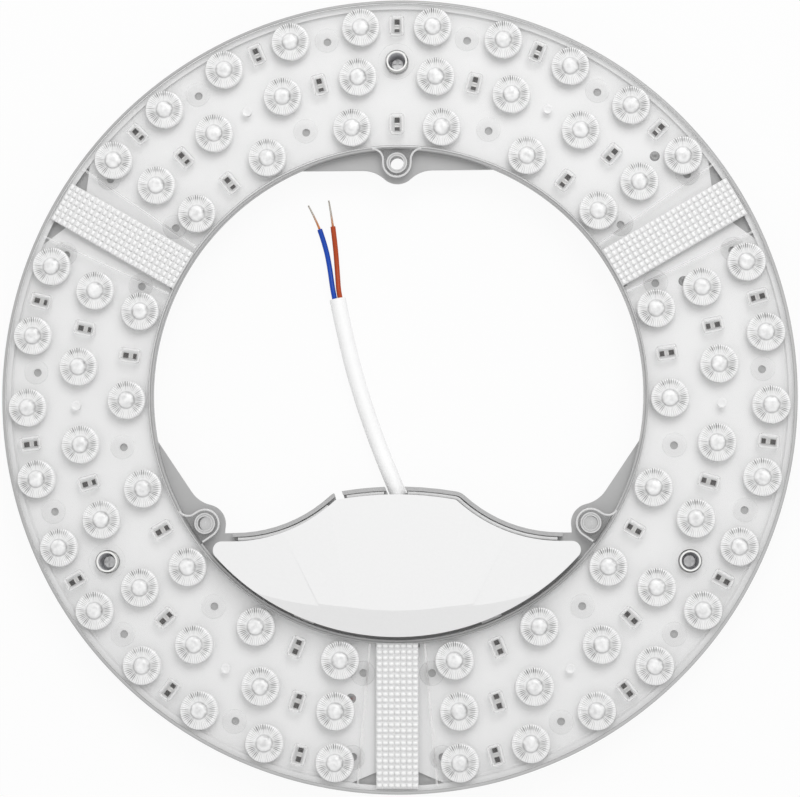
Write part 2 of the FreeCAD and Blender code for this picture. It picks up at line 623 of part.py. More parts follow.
def lens_cover():
    """The one-piece clear cover: plate, two skirts, ears, lenses, windows, prisms and pegs."""
    depth = f"({PLATE_TOP} - {TRAY_LEVEL})"
    disc = cylinder("cover_disc", "ring_radius", depth, z=TRAY_LEVEL)
    rounded = doc.addObject("Part::Fillet", "cover_rounded")
    rounded.Base = disc
    doc.recompute()
    top_edge = 1 + next(
        i for i, e in enumerate(disc.Shape.Edges) if e.Closed and e.CenterOfMass.z > plate_top - 1e-6
    )
    rounded.Edges = [(top_edge, size("rim_round"), size("rim_round"))]
    under_plate = f"{PLATE_LEVEL} - {TRAY_LEVEL}"
    hollow = cylinder("cover_hollow", "ring_radius - skirt_wall", under_plate, z=TRAY_LEVEL)
    shell = cut("cover_shell", rounded, hollow)
    skirt = cylinder(
        "cover_inner_skirt", "cover_inner_radius + skirt_wall", f"{PLATE_TOP} - {FLOOR_LEVEL}", z=FLOOR_LEVEL
    )
    middle = cylinder("cover_middle", "cover_inner_radius", depth, z=TRAY_LEVEL)
    ring = cut("cover_ring", fuse("cover_walls", [shell, skirt]), middle)

    solids = [ring]
    for number, angle in enumerate(EARS):
        place = polar("ear_circle_radius", angle)
        cap = cylinder(f"cover_ear_{number}", "ear_cap_radius", "plate_thickness", z=PLATE_LEVEL, **place)
        solids.append(cap)
        solids.append(feature(f"cover_neck_{number}", ear_neck(angle)))
    for board, centre in BOARDS.items():
        place = polar("magnet_circle_radius", centre)
        pad_height = "screw_pad_rise + plate_thickness"
        solids.append(cylinder(f"cover_pad_{board}", "screw_pad_radius", pad_height, z=PLATE_LEVEL, **place))
        for step in PEG_STEPS:
            peg = polar("peg_row_radius", f"({centre} + {step} * middle_row_step)")
            length = f"{PLATE_TOP} - {FLOOR_LEVEL} - plate_thickness / 2"
            name = f"cover_peg_{board}_{step + 2}"
            solids.append(cylinder(name, "peg_radius", length, z=FLOOR_LEVEL, **peg))
    optics = []
    for centre in BOARDS.values():
        optics += copies(lens_form(), lens_places(centre, plate_top))
        optics += copies(window_form(), window_places(centre, plate_top))
    solids.append(feature("cover_optics", Part.makeCompound(optics)))
    strips = [about_z(prism_strip(), angle) for angle in SEAMS]
    ribs = [about_z(guide_rib(side), angle) for angle in SEAMS for side in (-1, 1)]
    solids.append(feature("cover_prisms", Part.makeCompound(strips)))
    solids.append(feature("cover_ribs", Part.makeCompound(ribs)))

    holes = []
    for number, angle in enumerate(EARS):
        place = polar("ear_circle_radius", angle)
        radius = "ear_bore / 2 + ear_boss_wall + fit_gap / 2"
        holes.append(cylinder(f"cover_ear_hole_{number}", radius, depth, z=TRAY_LEVEL, **place))
    for board, centre in BOARDS.items():
        place = polar("magnet_circle_radius", centre)
        height = f"{depth} + screw_pad_rise"
        holes.append(
            cylinder(f"cover_hole_{board}", "sleeve_radius + sleeve_hole_gap", height, z=TRAY_LEVEL, **place)
        )
    named(cut("cover", fuse("cover_solid", solids), fuse("cover_holes", holes)), "lens_cover")


# The grey tray with the driver pocket


def bay_outline(inset, rim_radius):
    """The closed outline of the driver bay, set back by inset from the band's edge and closed
    towards the ring by an arc round the ring's middle."""
    crown = size("band_crown") + inset
    crown_radius = size("band_crown_radius") - inset
    flat = size("band_flat") + inset
    shoulder_radius = size("band_shoulder_radius") + inset
    crown_centre = Vector(0, -crown - crown_radius, 0)
    shoulder_centre = Vector(size("band_shoulder_x"), -flat + shoulder_radius, 0)
    across = shoulder_centre - crown_centre
    along = (crown_radius ** 2 - shoulder_radius ** 2 + across.Length ** 2) / (2 * across.Length)
    aside = math.sqrt(crown_radius ** 2 - along ** 2)
    direction = Vector(across).normalize()
    normal = Vector(-direction.y, direction.x, 0)
    corner = crown_centre + direction * along + normal * aside
    run_out = Vector(size("band_shoulder_x"), -flat, 0)
    tip = Vector(math.sqrt(rim_radius ** 2 - flat ** 2), -flat, 0)
    lean = ((corner + run_out) * 0.5 - shoulder_centre).normalize()
    on_shoulder = shoulder_centre + lean * shoulder_radius
    mirrored = [Vector(-p.x, p.y, 0) for p in (corner, on_shoulder, run_out, tip)]
    edges = [
        Part.Arc(mirrored[0], Vector(0, -crown, 0), corner).toShape(),
        Part.Arc(corner, on_shoulder, run_out).toShape(),
        Part.LineSegment(run_out, tip).toShape(),
        Part.Arc(tip, Vector(0, -rim_radius, 0), mirrored[3]).toShape(),
        Part.LineSegment(mirrored[3], mirrored[2]).toShape(),
        Part.Arc(mirrored[2], mirrored[1], mirrored[0]).toShape(),
    ]
    return Part.Wire(edges), corner, tip


def bay_prism(inset, rim_radius, bottom, top, tip_round=0.0):
    """The bay's outline as an upright solid, with the corners between crown and shoulder
    rounded, and the two tips as well if tip_round is given."""
    outline, corner, tip = bay_outline(inset, rim_radius)
    solid = Part.Face(outline).extrude(Vector(0, 0, top - bottom))
    solid.translate(Vector(0, 0, bottom))
    crown_round = max(size("band_corner") - inset, 1.0)
    solid = solid.makeFillet(crown_round, upright_edges(solid, corner))
    if tip_round:
        solid = solid.makeFillet(tip_round, upright_edges(solid, tip))
    return solid


def cord_notch(exit_point, along, top):
    """The block cut from the tray above the cord, so that the sheath shows up to the driver cover."""
    width = size("cord_diameter") + 2 * size("cord_hole_gap")
    edge = exit_point + along * ((-size("band_crown") - exit_point.y) / along.y)
    level = size("cord_exit_level")
    corner = Vector(-size("cord_notch"), -width / 2, 0)
    block = Part.makeBox(size("cord_notch") + width, width, top - level, corner)
    block.Placement = Placement(Vector(edge.x, edge.y, level), Rotation(Vector(1, 0, 0), along))
    return block


def upright_edges(solid, point):
    """The upright edges at a point of the plan and at its mirror image."""
    found = []
    for edge in solid.Edges:
        ends = edge.Vertexes
        if len(ends) != 2 or abs(ends[0].X - ends[1].X) > 1e-6 or abs(ends[0].Y - ends[1].Y) > 1e-6:
            continue
        if abs(abs(ends[0].X) - point.x) < 1e-3 and abs(ends[0].Y - point.y) < 1e-3:
            found.append(edge)
    return found


def base_tray():
    """The one-piece grey tray: ring floor, rim, ears with bosses, driver pocket with its band."""
    outside = "ring_radius - skirt_wall - fit_gap"
    disc = cylinder("tray_disc", outside, "tray_floor", z=TRAY_LEVEL)
    rim = cylinder("tray_rim", outside, "tray_floor + tray_rim_height", z=TRAY_LEVEL)
    inside = cylinder("tray_inside", f"{outside} - tray_rim_wall", "tray_rim_height", z=FLOOR_LEVEL)
    dish = cut("tray_dish", fuse("tray_blank", [disc, rim]), inside)
    ring = cut("tray_ring", dish, cylinder("tray_middle", "tray_inner_radius", "tray_floor", z=TRAY_LEVEL))

    solids = [ring]
    for number, angle in enumerate(EARS):
        disc = cylinder(f"tray_web_disc_{number}", "tray_inner_radius + fit_gap", "tray_floor", z=TRAY_LEVEL)
        block = primitive(
            "Part::Box",
            f"tray_web_block_{number}",
            turn=angle,
            Length="tray_inner_radius",
            Width="2 * tray_inner_radius",
            Height="tray_floor",
            x=f"web_chord * cos({angle} * 1deg) + tray_inner_radius * sin({angle} * 1deg)",
            y=f"web_chord * sin({angle} * 1deg) - tray_inner_radius * cos({angle} * 1deg)",
            z=TRAY_LEVEL,
        )
        solids.append(common(f"tray_web_{number}", [disc, block]))
        solids.append(feature(f"tray_web_fillet_{number}", web_fillet(angle)))
        place = polar("ear_circle_radius", angle)
        solids.append(cylinder(f"tray_ear_{number}", "ear_radius", "tray_floor", z=TRAY_LEVEL, **place))
        boss = "ear_bore / 2 + ear_boss_wall"
        height = f"{PLATE_TOP} - {TRAY_LEVEL}"
        solids.append(cylinder(f"tray_boss_{number}", boss, height, z=TRAY_LEVEL, **place))
        flare = f"{boss} + ear_stake_width"
        solids.append(cylinder(f"tray_stake_{number}", flare, "ear_stake_height", z=PLATE_TOP, **place))

    rim_radius = size("pocket_rim_radius")
    wall = size("pocket_wall")
    pocket_inset = size("pocket_inset")
    plate = bay_prism(0.0, size("tray_inner_radius") + size("fit_gap"), tray_level, floor_level)
    pocket = bay_prism(pocket_inset, rim_radius, size("pocket_level"), floor_level)
    band_top = floor_level + size("band_wall_height")
    band = bay_prism(0.0, rim_radius, tray_level, band_top)
    band = band.cut(bay_prism(size("band_wall"), rim_radius, tray_level, band_top))
    reach = size("band_wall_reach")
    near_ring = Vector(-reach, -size("band_crown") - reach, 0)
    band = band.common(Part.makeBox(2 * reach, reach, band_top, near_ring))
    solids.append(feature("tray_bay", plate.fuse([pocket, band]).removeSplitter()))

    hollow = bay_prism(pocket_inset + wall, rim_radius - wall, pocket_floor, floor_level)
    slot = Part.makeBox(
        size("band_slot_width"),
        size("pocket_inset") + 2 * wall,
        band_top,
        Vector(-size("band_slot_width") / 2, -size("pocket_inset") / 2 - wall, 0),
    )
    slant = Rotation(Vector(0, 0, 1), size("band_slot_turn"))
    slot.Placement = Placement(Vector(-size("band_slot_x"), -size("band_slot_y"), 0), slant)
    holes = [feature("tray_hollow", hollow), feature("tray_slot", slot)]
    route = cord_points()
    along = (route[1] - route[0]).normalize()
    cord_hole = Part.makeCylinder(
        size("cord_diameter") / 2 + size("cord_hole_gap"), (route[1] - route[0]).Length, route[0], along
    )
    holes.append(feature("tray_cord_hole", cord_hole))
    holes.append(feature("tray_cord_notch", cord_notch(route[1], along, band_top)))
    for number, angle in enumerate(EARS):
        place = polar("ear_circle_radius", angle)
        height = f"{PLATE_TOP} - {TRAY_LEVEL} + ear_stake_height"
        holes.append(cylinder(f"tray_bore_{number}", "ear_bore / 2", height, z=TRAY_LEVEL, **place))
    for board, centre in BOARDS.items():
        place = polar("magnet_circle_radius", centre)
        radius = "sleeve_radius + sleeve_hole_gap"
        holes.append(cylinder(f"tray_sleeve_hole_{board}", radius, "tray_floor", z=TRAY_LEVEL, **place))
        for number, (radius, angle) in enumerate(wire_holes(board)):
            name = f"tray_wire_hole_{board}_{number}"
            place = polar(radius, angle)
            holes.append(cylinder(name, "wire_hole_radius", "tray_floor", z=TRAY_LEVEL, **place))
    holes.append(feature("tray_lead_hole", lead_hole()))

    posts, pilots = [], []
    for number, (x, y) in enumerate(post_places()):
        posts.append(
            cylinder(f"tray_post_{number}", "post_radius", "post_height + pocket_wall / 2", x, y,
                     "pocket_level + pocket_wall / 2")
        )
        pilots.append(
            cylinder(f"tray_pilot_{number}", "small_screw_radius + screw_clearance", "post_height", x, y,
                     "pocket_level + pocket_wall")
        )
    posts.append(feature("clamp_seat", clamp_block(pocket_floor - wall / 2, size("cord_exit_level"))))
    pilots += [feature(f"clamp_pilot_{i}", shape) for i, shape in enumerate(clamp_pilots(pocket_floor))]
    tray = cut("tray_cut", fuse("tray_solid", solids), fuse("tray_holes", holes))
    posts_and_tray = fuse("tray_posted", [tray] + posts)
    named(cut("tray", posts_and_tray, fuse("tray_pilots", pilots)), "base_tray")


def web_fillet(angle):
    """What fills the two corners between the web's straight edge and the ear's rounded end."""
    ear, chord = size("ear_circle_radius"), size("web_chord")
    round_end, fillet = size("ear_radius"), size("web_fillet")
    aside = math.sqrt((round_end + fillet) ** 2 - (ear - chord + fillet) ** 2)
    share = round_end / (round_end + fillet)
    touch = Vector(ear - share * (ear - chord + fillet), share * aside, 0)
    thickness = size("tray_floor")
    block = Part.makeBox(ear - touch.x, 2 * aside, thickness, Vector(touch.x, -aside, 0))
    centres = [Vector(chord - fillet, side * aside, 0) for side in (-1, 1)]
    filler = block.cut([Part.makeCylinder(fillet, thickness, centre) for centre in centres])
    filler.translate(Vector(0, 0, tray_level))
    return about_z(filler, angle)


def post_places():
    """Formulas for the four screws of the driver board."""
    near = "-(driver_board_edge + post_margin)"
    far = "-(driver_board_edge + driver_board_width - post_margin)"
    side = "(driver_board_length / 2 - post_margin)"
    return [(side, near), (f"-{side}", near), (side, far), (f"-{side}", far)]


def lead_hole():
    """The opening in the pocket wall for the two wires to the LED boards."""
    width, depth = size("lead_hole_width"), 8 * size("pocket_wall")
    start = Vector(size("outlet_x") - width / 2, -size("pocket_rim_radius") - depth / 4, 0)
    start.z = tray_level - size("lead_hole_drop")
    return Part.makeBox(width, depth, size("lead_hole_height"), start)


def wire_holes(board):
    """Radius and angle of the wire hole of a board, as formulas."""
    if board == "top":
        return [("wire_hole_outer_circle", f"({BOARDS[board]} - wire_hole_outer_turn)")]
    return [("wire_hole_circle", f"({BOARDS[board]} + wire_hole_turn)")]


# The LED boards


def board_blank(centre):
    """A board without its holes: a third of a ring, with cut corners and notches at its ends."""
    outer = tray_rim_inside - size("board_gap")
    inner = size("cover_inner_radius") + size("skirt_wall") + size("board_gap")
    thickness = size("board_thickness")
    sector = Part.makeCylinder(outer, thickness, Vector(), Vector(0, 0, 1), 120)
    sector = sector.cut(Part.makeCylinder(inner, thickness))
    seam = size("board_seam") / 2
    flat, width, depth = size("corner_flat"), size("corner_width"), size("corner_depth")
    tools = []
    for side, edge_angle in ((1, 0), (-1, 120)):
        strip = Part.makeBox(outer, 2 * seam, thickness, Vector(0, -seam, 0))
        beyond = outer + depth
        corner = [
            Vector(outer - depth, -side * flat, 0),
            Vector(outer - depth, side * flat, 0),
            Vector(math.sqrt(outer ** 2 - width ** 2), side * width, 0),
            Vector(beyond, side * width, 0),
            Vector(beyond, -side * flat, 0),
        ]
        corner_cut = Part.Face(Part.makePolygon(corner + corner[:1])).extrude(Vector(0, 0, thickness))
        near, notch = size("notch_near"), size("notch_width")
        low = min(side * near, side * (near + notch))
        notch_cut = Part.makeBox(size("notch_depth") + 2, notch, thickness, Vector(inner - 2, low, 0))
        tools += [about_z(tool, edge_angle) for tool in (strip, corner_cut, notch_cut)]
    blank = sector.cut(tools)
    blank.rotate(Vector(), Vector(0, 0, 1), centre - 60)
    blank.translate(Vector(0, 0, floor_level))
    return blank


def led_board(board, centre):
    """One LED board with its round holes, the holes for pegs, sleeve and wires."""
    holes = []
    for row, steps in (("outer", VENTS_OUTER), ("inner", VENTS_INNER)):
        for step in steps:
            vent = polar(f"vent_{row}_circle", f"({centre} + {step} * {row}_row_step)")
            holes.append(vent | {"radius": "vent_radius"})
    for side in (-1, 1):
        for circle in ("vent_outer_circle", "vent_inner_circle"):
            holes.append(polar(circle, f"({centre} + {side} * vent_end_turn)") | {"radius": "vent_radius"})
    for step in PEG_STEPS:
        peg = polar("peg_row_radius", f"({centre} + {step} * middle_row_step)")
        holes.append(peg | {"radius": "peg_radius + fit_gap"})
    holes.append(polar("magnet_circle_radius", centre) | {"radius": "sleeve_radius + sleeve_hole_gap"})
    for radius, angle in wire_holes(board):
        holes.append(polar(radius, angle) | {"radius": "wire_hole_radius"})
    drills = [
        cylinder(f"drill_{board}_{i}", h["radius"], "board_thickness", h["x"], h["y"], FLOOR_LEVEL)
        for i, h in enumerate(holes)
    ]
    blank = feature(f"blank_{board}", board_blank(centre))
    named(cut(f"board_{board}", blank, fuse(f"drills_{board}", drills)), f"led_board_{board}")


def board_parts(board, centre):
    """The LEDs and the resistors of one board, each kind as one group of separate solids."""
    length, width, height = size("led_length"), size("led_width"), size("led_height")
    led = Part.makeBox(length, width, height, Vector(-length / 2, -width / 2, 0))
    leds = copies(led, lens_places(centre, board_top))
    named(feature(f"led_group_{board}", Part.makeCompound(leds)), f"leds_{board}")
    length, width, height = size("resistor_length"), size("resistor_width"), size("resistor_height")
    pitch = size("resistor_pitch")
    starts = [Vector((side * pitch - length) / 2, -width / 2, 0) for side in (-1, 1)]
    pair = [Part.makeBox(length, width, height, start) for start in starts]
    resistors = []
    for chip in pair:
        for point, angle in window_places(centre, board_top):
            moved = chip.copy()
            moved.rotate(Vector(), Vector(0, 0, 1), angle)
            moved.translate(point)
            resistors.append(moved)
    named(feature(f"resistor_group_{board}", Part.makeCompound(resistors)), f"resistors_{board}")


# Magnets, sleeves and screws


def magnet_set(board, centre):
    """Pot, ring magnet and white sleeve of one of the three magnets; returns the screw."""
    place = polar("magnet_circle_radius", centre)
    bore = "screw_radius + screw_clearance"
    cup = turned(f"cup_{board}", [
        (bore, "screw_end"),
        ("hub_radius", "screw_end"),
        ("hub_radius", "magnet_height - cup_wall"),
        ("cup_radius - cup_wall", "magnet_height - cup_wall"),
        ("cup_radius - cup_wall", "0"),
        ("cup_radius", "0"),
        ("cup_radius", "magnet_height"),
        (bore, "magnet_height"),
    ], **place)
    named(cup, f"magnet_cup_{board}")
    ring = turned(f"ring_{board}", [
        ("hub_radius + fit_gap", "0"),
        ("cup_radius - cup_wall - screw_clearance", "0"),
        ("cup_radius - cup_wall - screw_clearance", "magnet_height - cup_wall"),
        ("hub_radius + fit_gap", "magnet_height - cup_wall"),
    ], **place)
    named(ring, f"magnet_ring_{board}")
    sleeve_top = f"{PLATE_TOP} + screw_pad_rise + sleeve_proud"
    sleeve = turned(f"sleeve_{board}", [
        (bore, "magnet_height"),
        ("sleeve_flange_radius", "magnet_height"),
        ("sleeve_flange_radius", TRAY_LEVEL),
        ("sleeve_radius", TRAY_LEVEL),
        ("sleeve_radius", sleeve_top),
        ("sleeve_bore_radius", sleeve_top),
        ("sleeve_bore_radius", "magnet_height + screw_seat"),
        (bore, "magnet_height + screw_seat"),
    ], **place)
    named(sleeve, f"magnet_sleeve_{board}")
    seat = "magnet_height + screw_seat"
    return slotted_screw(f"magnet_screw_{board}", place, "screw_radius", "screw_head_radius",
                         "screw_head_height", "screw_end", seat)


def slotted_screw(name, place, shank, head, head_height, end, seat):
    """A screw with a cross slot; its head sits at seat, and its shank goes down to end."""
    blank = turned(f"{name}_blank", [
        ("0", end),
        (shank, end),
        (shank, seat),
        (head, seat),
        (head, f"{seat} + {head_height} * 0.6"),
        (f"{head} * 0.8", f"{seat} + {head_height}"),
        ("0", f"{seat} + {head_height}"),
    ], **place)
    bars = []
    long = f"1.5 * {head}"
    for number, (length, width) in enumerate(((long, "slot_width"), ("slot_width", long))):
        bars.append(primitive(
            "Part::Box",
            f"{name}_bar_{number}",
            Length=length,
            Width=width,
            Height="slot_depth",
            x=f"{place['x']} - {length} / 2",
            y=f"{place['y']} - {width} / 2",
            z=f"{seat} + {head_height} - slot_depth",
        ))
    return cut(name, blank, fuse(f"{name}_slots", bars))


# The driver


def driver_cover_form(inset, lower):
    """The driver cover's outside, or its hollow if set back by inset and lowered."""
    bottom = floor_level
    top = floor_level + size("driver_cover_height") - lower
    rim_radius = size("driver_cover_radius") - inset
    tips = max(size("driver_cover_corner") - inset, 1.0)
    form = bay_prism(size("driver_cover_inset") + inset, rim_radius, bottom, top, tips)
    middle_edge = size("driver_cover_radius") - size("bevel_width")
    centre = Vector(0, size("bevel_radius") - middle_edge, 0)
    slope = size("bevel_width") / size("bevel_drop")
    height = top - bottom
    upper = size("bevel_radius") - inset
    cone = Part.makeCone(upper + height * slope, upper, height, centre + Vector(0, 0, bottom))
    form = form.common(cone)
    tools = []
    for side in (-1, 1):
        tilt = 0.0
        for fold in ("near", "far"):
            tilt += size("crease_tilt")
            reach = size("ring_radius")
            block = Part.makeBox(reach, 2 * reach, reach / 3, Vector(0, -reach, 0))
            block.rotate(Vector(), Vector(0, 1, 0), tilt)
            block.rotate(Vector(), Vector(0, 0, 1), -size(f"crease_{fold}_turn"))
            drop = 0.0 if fold == "near" else crease_fall()
            block.translate(Vector(size(f"crease_{fold}_x"), -size(f"crease_{fold}_y"), top - drop))
            if side < 0:
                block = block.mirror(Vector(), Vector(1, 0, 0))
            tools.append(block)
    return form.cut(tools)


def crease_fall():
    """How far the top has fallen at the second fold."""
    turn = math.radians(size("crease_near_turn"))
    along_x = size("crease_far_x") - size("crease_near_x")
    along_y = size("crease_far_y") - size("crease_near_y")
    distance = along_x * math.cos(turn) + along_y * math.sin(turn)
    return distance * math.tan(math.radians(size("crease_tilt")))


def driver_cover():
    """The white cover over the driver, with four snap tabs at its lower edge."""
    wall = size("driver_cover_wall")
    shell = driver_cover_form(0.0, 0.0).cut(driver_cover_form(wall, wall))
    length, reach = size("snap_length"), size("snap_reach")
    tabs = []
    for side in (-1, 1):
        tab = Part.makeBox(wall / 2 + reach, length, size("snap_height"))
        tab.translate(Vector(size("driver_cover_radius") - wall / 2, -length / 2, floor_level))
        tab = tab.common(Part.makeCylinder(size("driver_cover_radius") + reach, plate_top))
        tabs.append(about_z(tab, 270 + side * size("snap_rim_turn")))
        tabs.append(shoulder_tab(side))
    named(feature("driver_lid", shell.fuse(tabs).removeSplitter()), "driver_cover")


def shoulder_tab(side):
    """A snap tab that follows the hollow shoulder on one side."""
    shoulder = size("band_shoulder_radius")
    centre = Vector(side * size("band_shoulder_x"), shoulder - size("band_flat"), floor_level)
    face = shoulder + size("driver_cover_inset")
    height = size("snap_height")
    outer = Part.makeCylinder(face + size("driver_cover_wall") / 2, height, centre)
    inner = Part.makeCylinder(face - size("snap_reach"), height, centre)
    length, depth = size("snap_shoulder_length"), size("driver_cover_radius")
    x = side * size("snap_shoulder_x")
    window = Part.makeBox(length, depth, plate_top, Vector(x - length / 2, -depth, 0))
    return outer.cut(inner).common(window)


def driver():
    """The driver board on its posts, with its parts and screws."""
    level = DRIVER_LEVEL
    blank = primitive(
        "Part::Box",
        "driver_blank",
        Length="driver_board_length",
        Width="driver_board_width",
        Height="driver_board_thickness",
        x="-driver_board_length / 2",
        y="-driver_board_edge - driver_board_width",
        z=level,
    )
    drills, screws = [], []
    for number, (x, y) in enumerate(post_places()):
        radius = "small_screw_radius + screw_clearance"
        drills.append(cylinder(f"driver_drill_{number}", radius, "driver_board_thickness", x, y, level))
        seat = f"{level} + driver_board_thickness"
        screws.append(slotted_screw(f"driver_screw_{number}", {"x": x, "y": y}, "small_screw_radius",
                                    "small_head_radius", "small_head_height",
                                    "pocket_level + pocket_wall + screw_end", seat))
    named(cut("driver_plate", blank, fuse("driver_drills", drills)), "driver_board")
    named(group("driver_screw_group", screws), "driver_board_screws")
    driver_parts()


def on_board(name, label, length, width, height, x, y):
    """A block-shaped part on the driver board; x and y count from the middle of the board."""
    block = primitive(
        "Part::Box", name, Length=length, Width=width, Height=height,
        x=f"{x} - {length} / 2",
        y=f"-driver_board_edge - driver_board_width / 2 + {y} - {width} / 2",
        z=DRIVER_TOP,
    )
    return named(block, label)


def can_on_board(name, label, diameter, height, x, y):
    """A round part standing on the driver board."""
    can = cylinder(name, f"{diameter} / 2", height, str(x),
                   f"-driver_board_edge - driver_board_width / 2 + {y}", DRIVER_TOP)
    return named(can, label)


def transformer():
    """A frame-shaped ferrite core, and the taped winding that runs through its window."""
    length, width, height, yoke = (size(f"core_{part}") for part in ("length", "width", "height", "yoke"))
    row = size("driver_board_edge") + size("driver_board_width") / 2
    middle = Vector(size("transformer_x"), -row, driver_top)
    frame = Part.makeBox(length, width, height, middle - Vector(length / 2, width / 2, 0))
    gap = size("lead_gap")
    window = Vector(length - 2 * yoke, width, height - 2 * yoke)
    opening = Part.makeBox(*window, middle + Vector(-window.x / 2, -width / 2, yoke))
    named(feature("core_frame", frame.cut(opening)), "transformer_core")
    depth = size("winding_depth")
    corner = middle + Vector(gap - window.x / 2, -depth / 2, yoke + gap)
    coil = Part.makeBox(window.x - 2 * gap, depth, window.z - 2 * gap, corner)
    ends = [e for e in coil.Edges if abs(e.tangentAt(e.FirstParameter).z) > 0.9]
    named(feature("winding", coil.makeFillet(yoke / 2, ends)), "transformer_winding")


def driver_parts():
    """The parts of the driver, from the supply side on the right to the LED side on the left."""
    transformer()
    for label, diameter, height, x, y in DRIVER_CANS:
        can_on_board(f"{label}_can", label, str(diameter), str(height), x, str(y))
    for label, length, width, height, x, y in DRIVER_BLOCKS:
        on_board(f"{label}_block", label, str(length), str(width), str(height), str(x), str(y))
    tube_radius, tube_length, tube_x, tube_edge = FUSE
    y = f"-driver_board_edge - driver_board_width + {tube_edge}"
    level = f"{DRIVER_TOP} + {tube_radius}"
    fuse_tube = cylinder("fuse_tube", str(tube_radius), str(tube_length), str(tube_x), y, level)
    fuse_tube.Placement.Rotation = Rotation(Vector(0, 1, 0), 90)
    named(fuse_tube, "fuse")


# The supply lead and the wires


def cord_points():
    """The route of the sheath; the first two points are at the level of the hole."""
    levels = {"exit": size("cord_exit_level"), None: size("cord_diameter") / 2}
    return [Vector(x, y, levels[level]) for x, y, level in CORD_ROUTE]


def route(points, diameter):
    """Route points as vectors; a height of None means lying on the floor."""
    return [Vector(x, y, diameter / 2 if level is None else level) for x, y, level in points]


def supply_lead():
    """Sheath, the two cores that come out of its end, and their stripped strands."""
    sheath = cord_points()
    named(feature("sheath", tube("cord_sheath", sheath, size("cord_diameter"))), "cord_sheath")
    forward = (sheath[-1] - sheath[-2]).normalize()
    left = Vector(-forward.y, forward.x, 0)
    core, strand = size("core_diameter"), size("strand_diameter")
    aside = (core + size("core_gap")) / 2
    for colour, side, insulated, bare in (
        ("blue", 1, BLUE_ROUTE, BLUE_STRANDS),
        ("brown", -1, BROWN_ROUTE, BROWN_STRANDS),
    ):
        start = sheath[-1] + left * side * aside
        points = [start, start + forward * size("core_straight")] + route(insulated, core)
        named(feature(f"{colour}_core", tube(f"core_{colour}", points, core)), f"core_{colour}")
        ends = [points[-1]] + route(bare, strand)
        named(feature(f"{colour}_strands", tube(f"strands_{colour}", ends, strand)), f"strands_{colour}")


def clamp_frame():
    """Middle, half width and half depth of the clamp, which stands square to the module."""
    sheath = cord_points()
    along = (sheath[1] - sheath[0]).normalize()
    depth = size("clamp_depth")
    middle = sheath[0] + along * (depth / 2 / along.y)
    slant = size("cord_diameter") / 2 / along.y + depth / 2 * abs(along.x / along.y)
    raised = slant + size("clamp_roof")
    half = raised + 2 * size("small_head_radius") + 2 * size("clamp_gap")
    return middle, raised, half


def clamp_block(bottom, top):
    """The footprint of clamp and seat between two levels, with the bore for the cord."""
    middle, _, half = clamp_frame()
    depth = size("clamp_depth")
    block = Part.makeBox(2 * half, depth, top - bottom, Vector(middle.x - half, middle.y - depth / 2, bottom))
    sheath = cord_points()
    along = (sheath[1] - sheath[0]).normalize()
    radius = size("cord_diameter") / 2 + size("clamp_gap")
    return block.cut(Part.makeCylinder(radius, 3 * depth, sheath[0] - along * depth, along))


def clamp_pilots(bottom):
    """The two upright screw holes through clamp and seat."""
    radius = size("small_screw_radius") + size("screw_clearance")
    return [Part.makeCylinder(radius, plate_top, Vector(x, y, bottom)) for x, y in clamp_screw_places()]


def clamp_screw_places():
    middle, raised, _ = clamp_frame()
    aside = raised + size("small_head_radius") + size("clamp_gap")
    return [(middle.x + side * aside, middle.y) for side in (-1, 1)]


def cord_clamp():
    """The saddle that holds the sheath down on its seat in the pocket, with its two screws."""
    seat = size("cord_exit_level")
    flange = seat + size("clamp_flange")
    top = seat + size("cord_diameter") / 2 + size("clamp_roof")
    middle, raised, half = clamp_frame()
    depth = size("clamp_depth")
    saddle = clamp_block(seat, top)
    inside = Part.makeBox(2 * raised, depth, top, Vector(middle.x - raised, middle.y - depth / 2, 0))
    below = Part.makeBox(2 * half, depth, flange, Vector(middle.x - half, middle.y - depth / 2, 0))
    saddle = saddle.common(inside.fuse(below)).cut(clamp_pilots(0)).removeSplitter()
    named(feature("clamp", saddle), "cord_clamp")
    heads = []
    for number, (x, y) in enumerate(clamp_screw_places()):
        heads.append(slotted_screw(
            f"clamp_screw_{number}", {"x": f"({x})", "y": f"({y})"}, "small_screw_radius",
            "small_head_radius", "small_head_height", "pocket_level + pocket_wall + screw_end",
            "cord_exit_level + clamp_flange",
        ))
    named(group("clamp_screw_group", heads), "cord_clamp_screws")


def terminal(name, label, x, side, entries):
    """A terminal block at an edge of the driver board: side 1 is the near edge, whose wire
    entries face +Y, and side -1 the far edge."""
    length, width, height = (size(f"terminal_{part}") for part in ("length", "width", "height"))
    edge = terminal_face(side)
    low = edge - width if side > 0 else edge
    block = Part.makeBox(length, width, height, Vector(x - length / 2, low, driver_top))
    well, depth = size("terminal_screw_radius"), size("terminal_screw_depth")
    into = Vector(0, -side, 0)
    tools = []
    for entry in entries:
        mouth = Vector(entry.x, edge, entry.z)
        tools.append(Part.makeCylinder(size("entry_radius"), size("entry_depth"), mouth, into))
        top = Vector(entry.x, low + width / 2, driver_top + height - depth)
        tools.append(Part.makeCylinder(well, depth, top))
    named(feature(name, block.cut(tools)), label)


def terminal_face(side):
    """Y of the wire entries of a terminal at the near (1) or far (-1) edge of the board."""
    if side > 0:
        return -size("driver_board_edge") - size("terminal_margin")
    return -size("driver_board_edge") - size("driver_board_width") + size("terminal_margin")


def wiring():
    """The wires inside the module: sheath to input terminal, driver to boards, board to board."""
    input_leads()
    output_leads()
    board_jumpers()
    seam_links()


